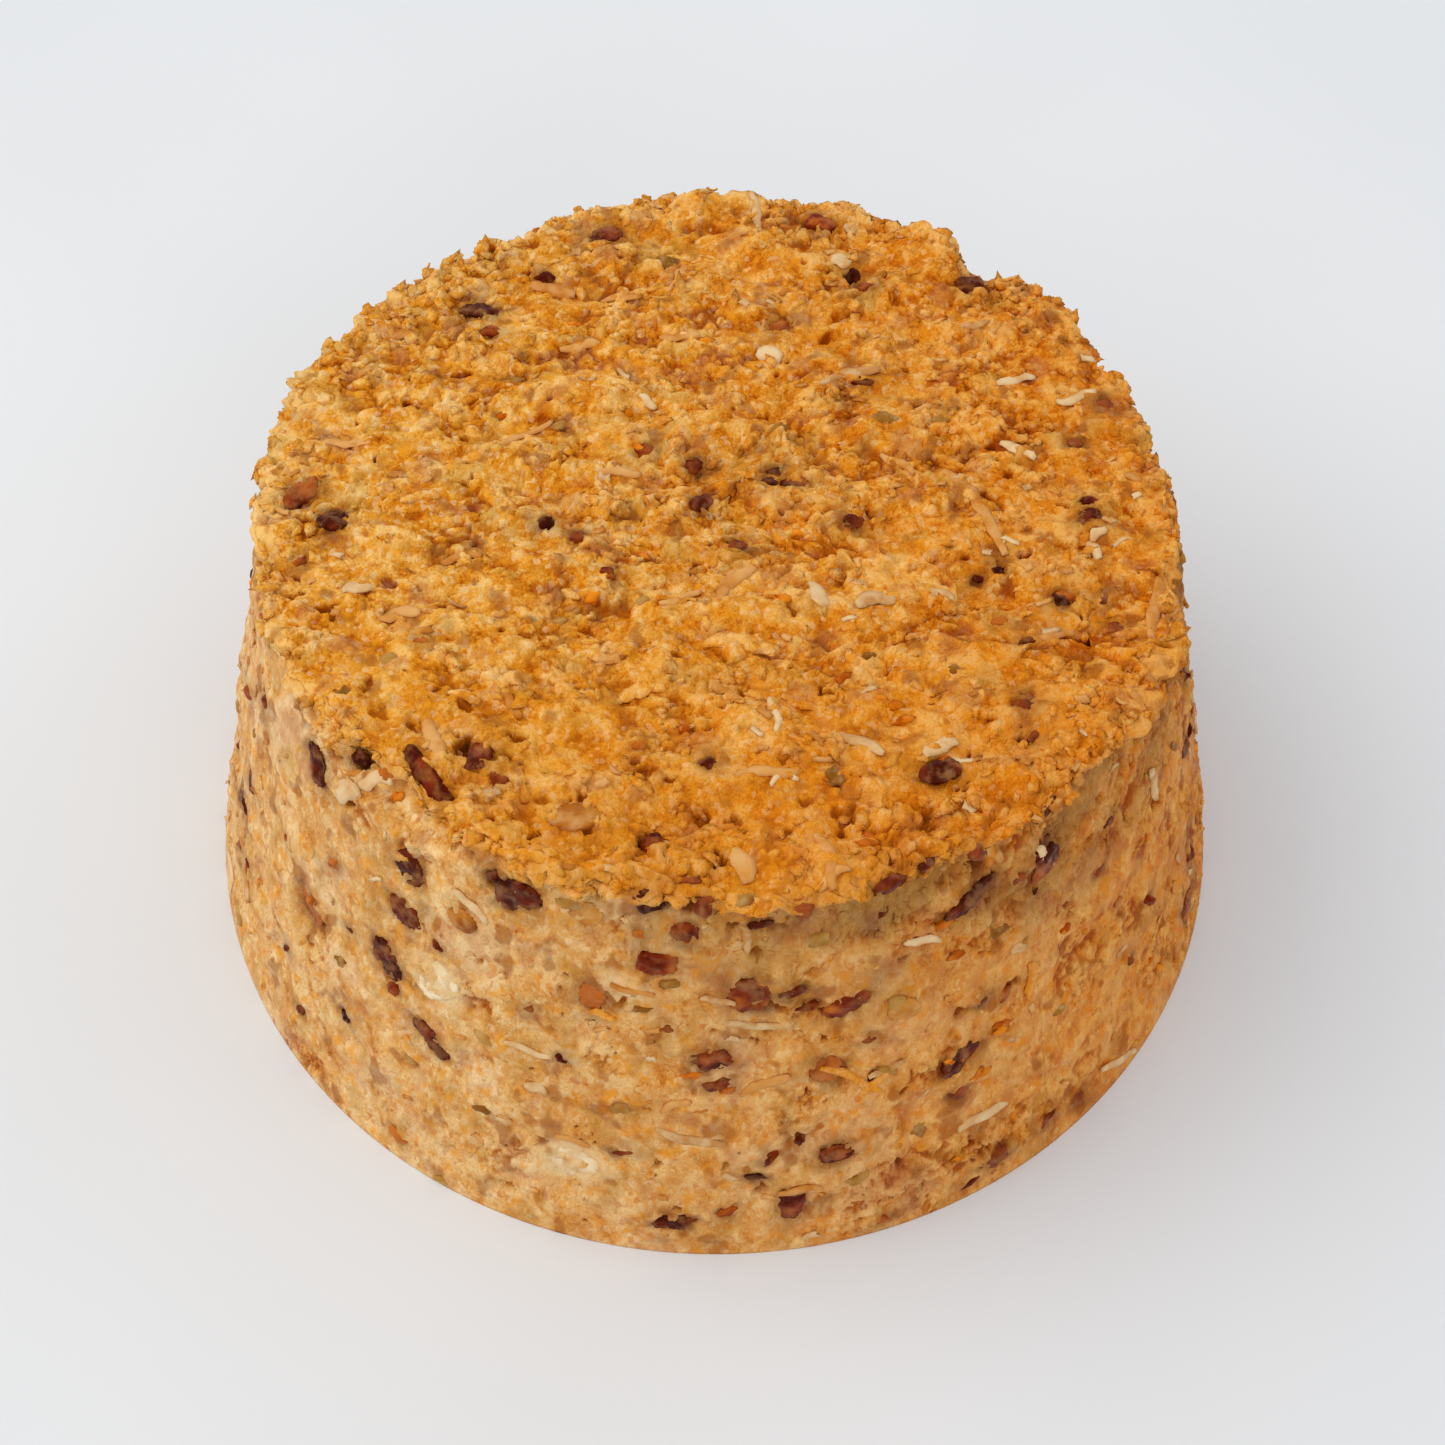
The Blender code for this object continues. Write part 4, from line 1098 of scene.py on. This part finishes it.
def laid_shred(place, outwards, along, length, width, bend):
    """A strip that follows the crumb's surface, rounded and ragged at its edges, half sunk."""
    strip = bmesh.new()
    bmesh.ops.create_cube(strip, size=1)
    ends = [e for e in strip.edges if abs(e.verts[0].co.x - e.verts[1].co.x) > 0.5]
    cuts = max(5, int(length / (0.8 * MM)))
    bmesh.ops.subdivide_edges(strip, edges=ends, cuts=cuts, use_grid_fill=True)
    sides = [e for e in strip.edges if abs(e.verts[0].co.y - e.verts[1].co.y) > 0.5]
    bmesh.ops.subdivide_edges(strip, edges=sides, cuts=3, use_grid_fill=True)
    tone_of = strip.verts.layers.float.new("tone")
    torn_here = strip.verts.layers.float.new("torn")
    hollow_here = strip.verts.layers.float.new("hollow")
    tone = chance.random()
    base = resting_frame(place, outwards, along)
    back = base.inverted()
    offset = chance.uniform(-9, 9)
    heights = {}
    for vert in strip.verts:
        station = round(vert.co.x, 3)
        if station not in heights:
            found = []
            for share in (-0.4, 0, 0.4):
                above = base @ Vector((station * length, share * width, 5 * MM))
                hit = shell_tree.ray_cast(above, -outwards, 10 * MM)[0]
                if hit:
                    found.append((back @ hit).z)
            heights[station] = sum(found) / len(found) if found else 0.0
    stations = sorted(heights)
    lift = chance.uniform(0.0, 0.5) * MM
    for vert in strip.verts:
        vert[tone_of] = tone
        vert[torn_here] = 1.0
        # Painted light: shreds of crumb stand proud, so a negative hollow makes them a little
        # lighter
        vert[hollow_here] = -0.5
        near = stations.index(round(vert.co.x, 3))
        around = [heights[s] for s in stations[max(0, near - 3) : near + 4]]
        share = vert.co.x * 2
        ragged = 0.35 * noise.noise(Vector((share * length / (2.4 * MM), vert.co.y * 2, offset)))
        narrow = (1 - 0.5 * abs(share) ** 3) * (1 + ragged)
        edge = 1 - 0.75 * abs(vert.co.y * 2) ** 2
        bow = bend * (1 - share * share) + 0.25 * MM * math.sin(share * 4 + offset)
        level = sum(around) / len(around) + (vert.co.z * edge + 0.12) * SHRED_THICK
        level += lift * max(0.0, share * math.copysign(1, offset)) ** 2
        vert.co = Vector((vert.co.x * length, vert.co.y * width * narrow + bow, level))
    bmesh.ops.recalc_face_normals(strip, faces=strip.faces[:])
    strip.transform(base)
    return strip


for name, listed, tones, film, flake_count in (
    ("cream", CREAM_SHREDS, ("bf8548", "d4a46a", "e4c290"), "e8cfa0", 70),
    ("peach", PEACH_SHREDS, ("c07428", "d08c40", "dca05a"), "e2ae70", 150),
    ("golden", GOLDEN_SHREDS, None, None, 120),
):
    finish = crumb
    if tones:
        finish = skin_finish(name + "_fruit_shred", tones, film, 0.5, 0.36)
    strips = bmesh.new()
    for layer in ("tone", "torn", "hollow"):
        strips.verts.layers.float.new(layer)
    for x1, y1, x2, y2, width, bend in listed:
        start, end = seen_on_crumb(x1, y1)[0], seen_on_crumb(x2, y2)[0]
        place, outwards = seen_on_crumb((x1 + x2) / 2, (y1 + y2) / 2)
        size = (end - start).length, width * MM, bend * MM
        add_copy(strips, laid_shred(place, outwards, end - start, *size), Matrix.Identity(4))
    for _ in range(BACK_SHREDS):
        place, outwards = wall_place(chance.uniform(-20, 202), chance.uniform(4, 82) * MM)
        along = Vector((-outwards.y, outwards.x, chance.uniform(-0.7, 0.7)))
        size = chance.uniform(5, 11) * MM, chance.uniform(1.4, 2.4) * MM, chance.uniform(-1, 1) * MM
        add_copy(strips, laid_shred(place, outwards, along, *size), Matrix.Identity(4))
    piece = piece_from(strips, name + "_shreds", finish)
    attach(piece, "root")

    flake_places = []
    while len(flake_places) < flake_count:
        vert = shell.verts[chance.randrange(vertex_count)]
        flat = vert[torn_of]
        if chance.random() > (0.9 if flat > 0.5 else 0.25) or vert.co.z < 3 * MM:
            continue
        if vert[hollow_shade_of] > 0.3 or nearest_fruit.find(vert.co)[2] < 1.2 * MM:
            continue
        outwards = vert.normal.lerp(smoothed_outward(vert.co), 0.7).normalized()
        length, width = chance.triangular(1.2, 3.8, 1.8) * MM, chance.uniform(1.0, 2.2) * MM
        tilt = 0.3 if flat > 0.5 else 0.05
        sunk = chance.uniform(-0.15, 0.2) * MM if flat > 0.5 else chance.uniform(-0.16, -0.04) * MM
        along = Vector((1, chance.uniform(-0.8, 0.8), chance.uniform(-0.8, 0.8)))
        frame_here = (
            resting_frame(vert.co + outwards * sunk, outwards, along)
            @ Matrix.Rotation(chance.uniform(-tilt, tilt), 4, "X")
            @ Matrix.Rotation(chance.uniform(-tilt, tilt), 4, "Y")
            @ Matrix.Diagonal((length, width, 2.4 * MM, 1))
        )
        flake_places.append((chance.randrange(len(flake_shapes)), frame_here, flat))
    scattered(name + "_flakes", flake_shapes, flake_places, finish)


# Flecks of orange zest, 1 to 3 mm, the brightest thing in the crumb.
ZEST = (
    (1132, 769), (945, 922), (1006, 1025), (1155, 964), (956, 953), (1067, 930), (956, 1159),
    (949, 1063), (871, 270), (960, 1060), (1000, 1030), (865, 840), (700, 540), (590, 600),
    (400, 575), (1010, 610), (905, 720), (980, 1070), (430, 730), (395, 800), (690, 1075),
)
zest = skin_finish("orange_zest", ("b04a04", "d06a08", "e88a18"), "f0a040", 0.3, 0.3)
flecks = []
for across, down in ZEST:
    for _ in range(2):
        flecks.append(seen_on_crumb(across + chance.uniform(-5, 5), down + chance.uniform(-4, 4)))
flecks += [wall_place(chance.uniform(-20, 202), chance.uniform(4, 82) * MM) for _ in range(40)]
flecks += [top_place(chance.uniform(-50, 50) * MM, chance.uniform(-50, 50) * MM) for _ in range(16)]
zest_places = []
for place, outwards in flecks:
    size = chance.uniform(0.6, 1.4) * MM
    frame_here = resting_frame(place, outwards, Vector((1, chance.uniform(-1, 1), 0.3)))
    frame_here = frame_here @ Matrix.Diagonal((size * 1.5, size, size * 0.6, 1))
    zest_places.append((chance.randrange(len(lump_shapes)), frame_here, 0.0))
scattered("zest_flecks", lump_shapes, zest_places, zest)

shell.free()
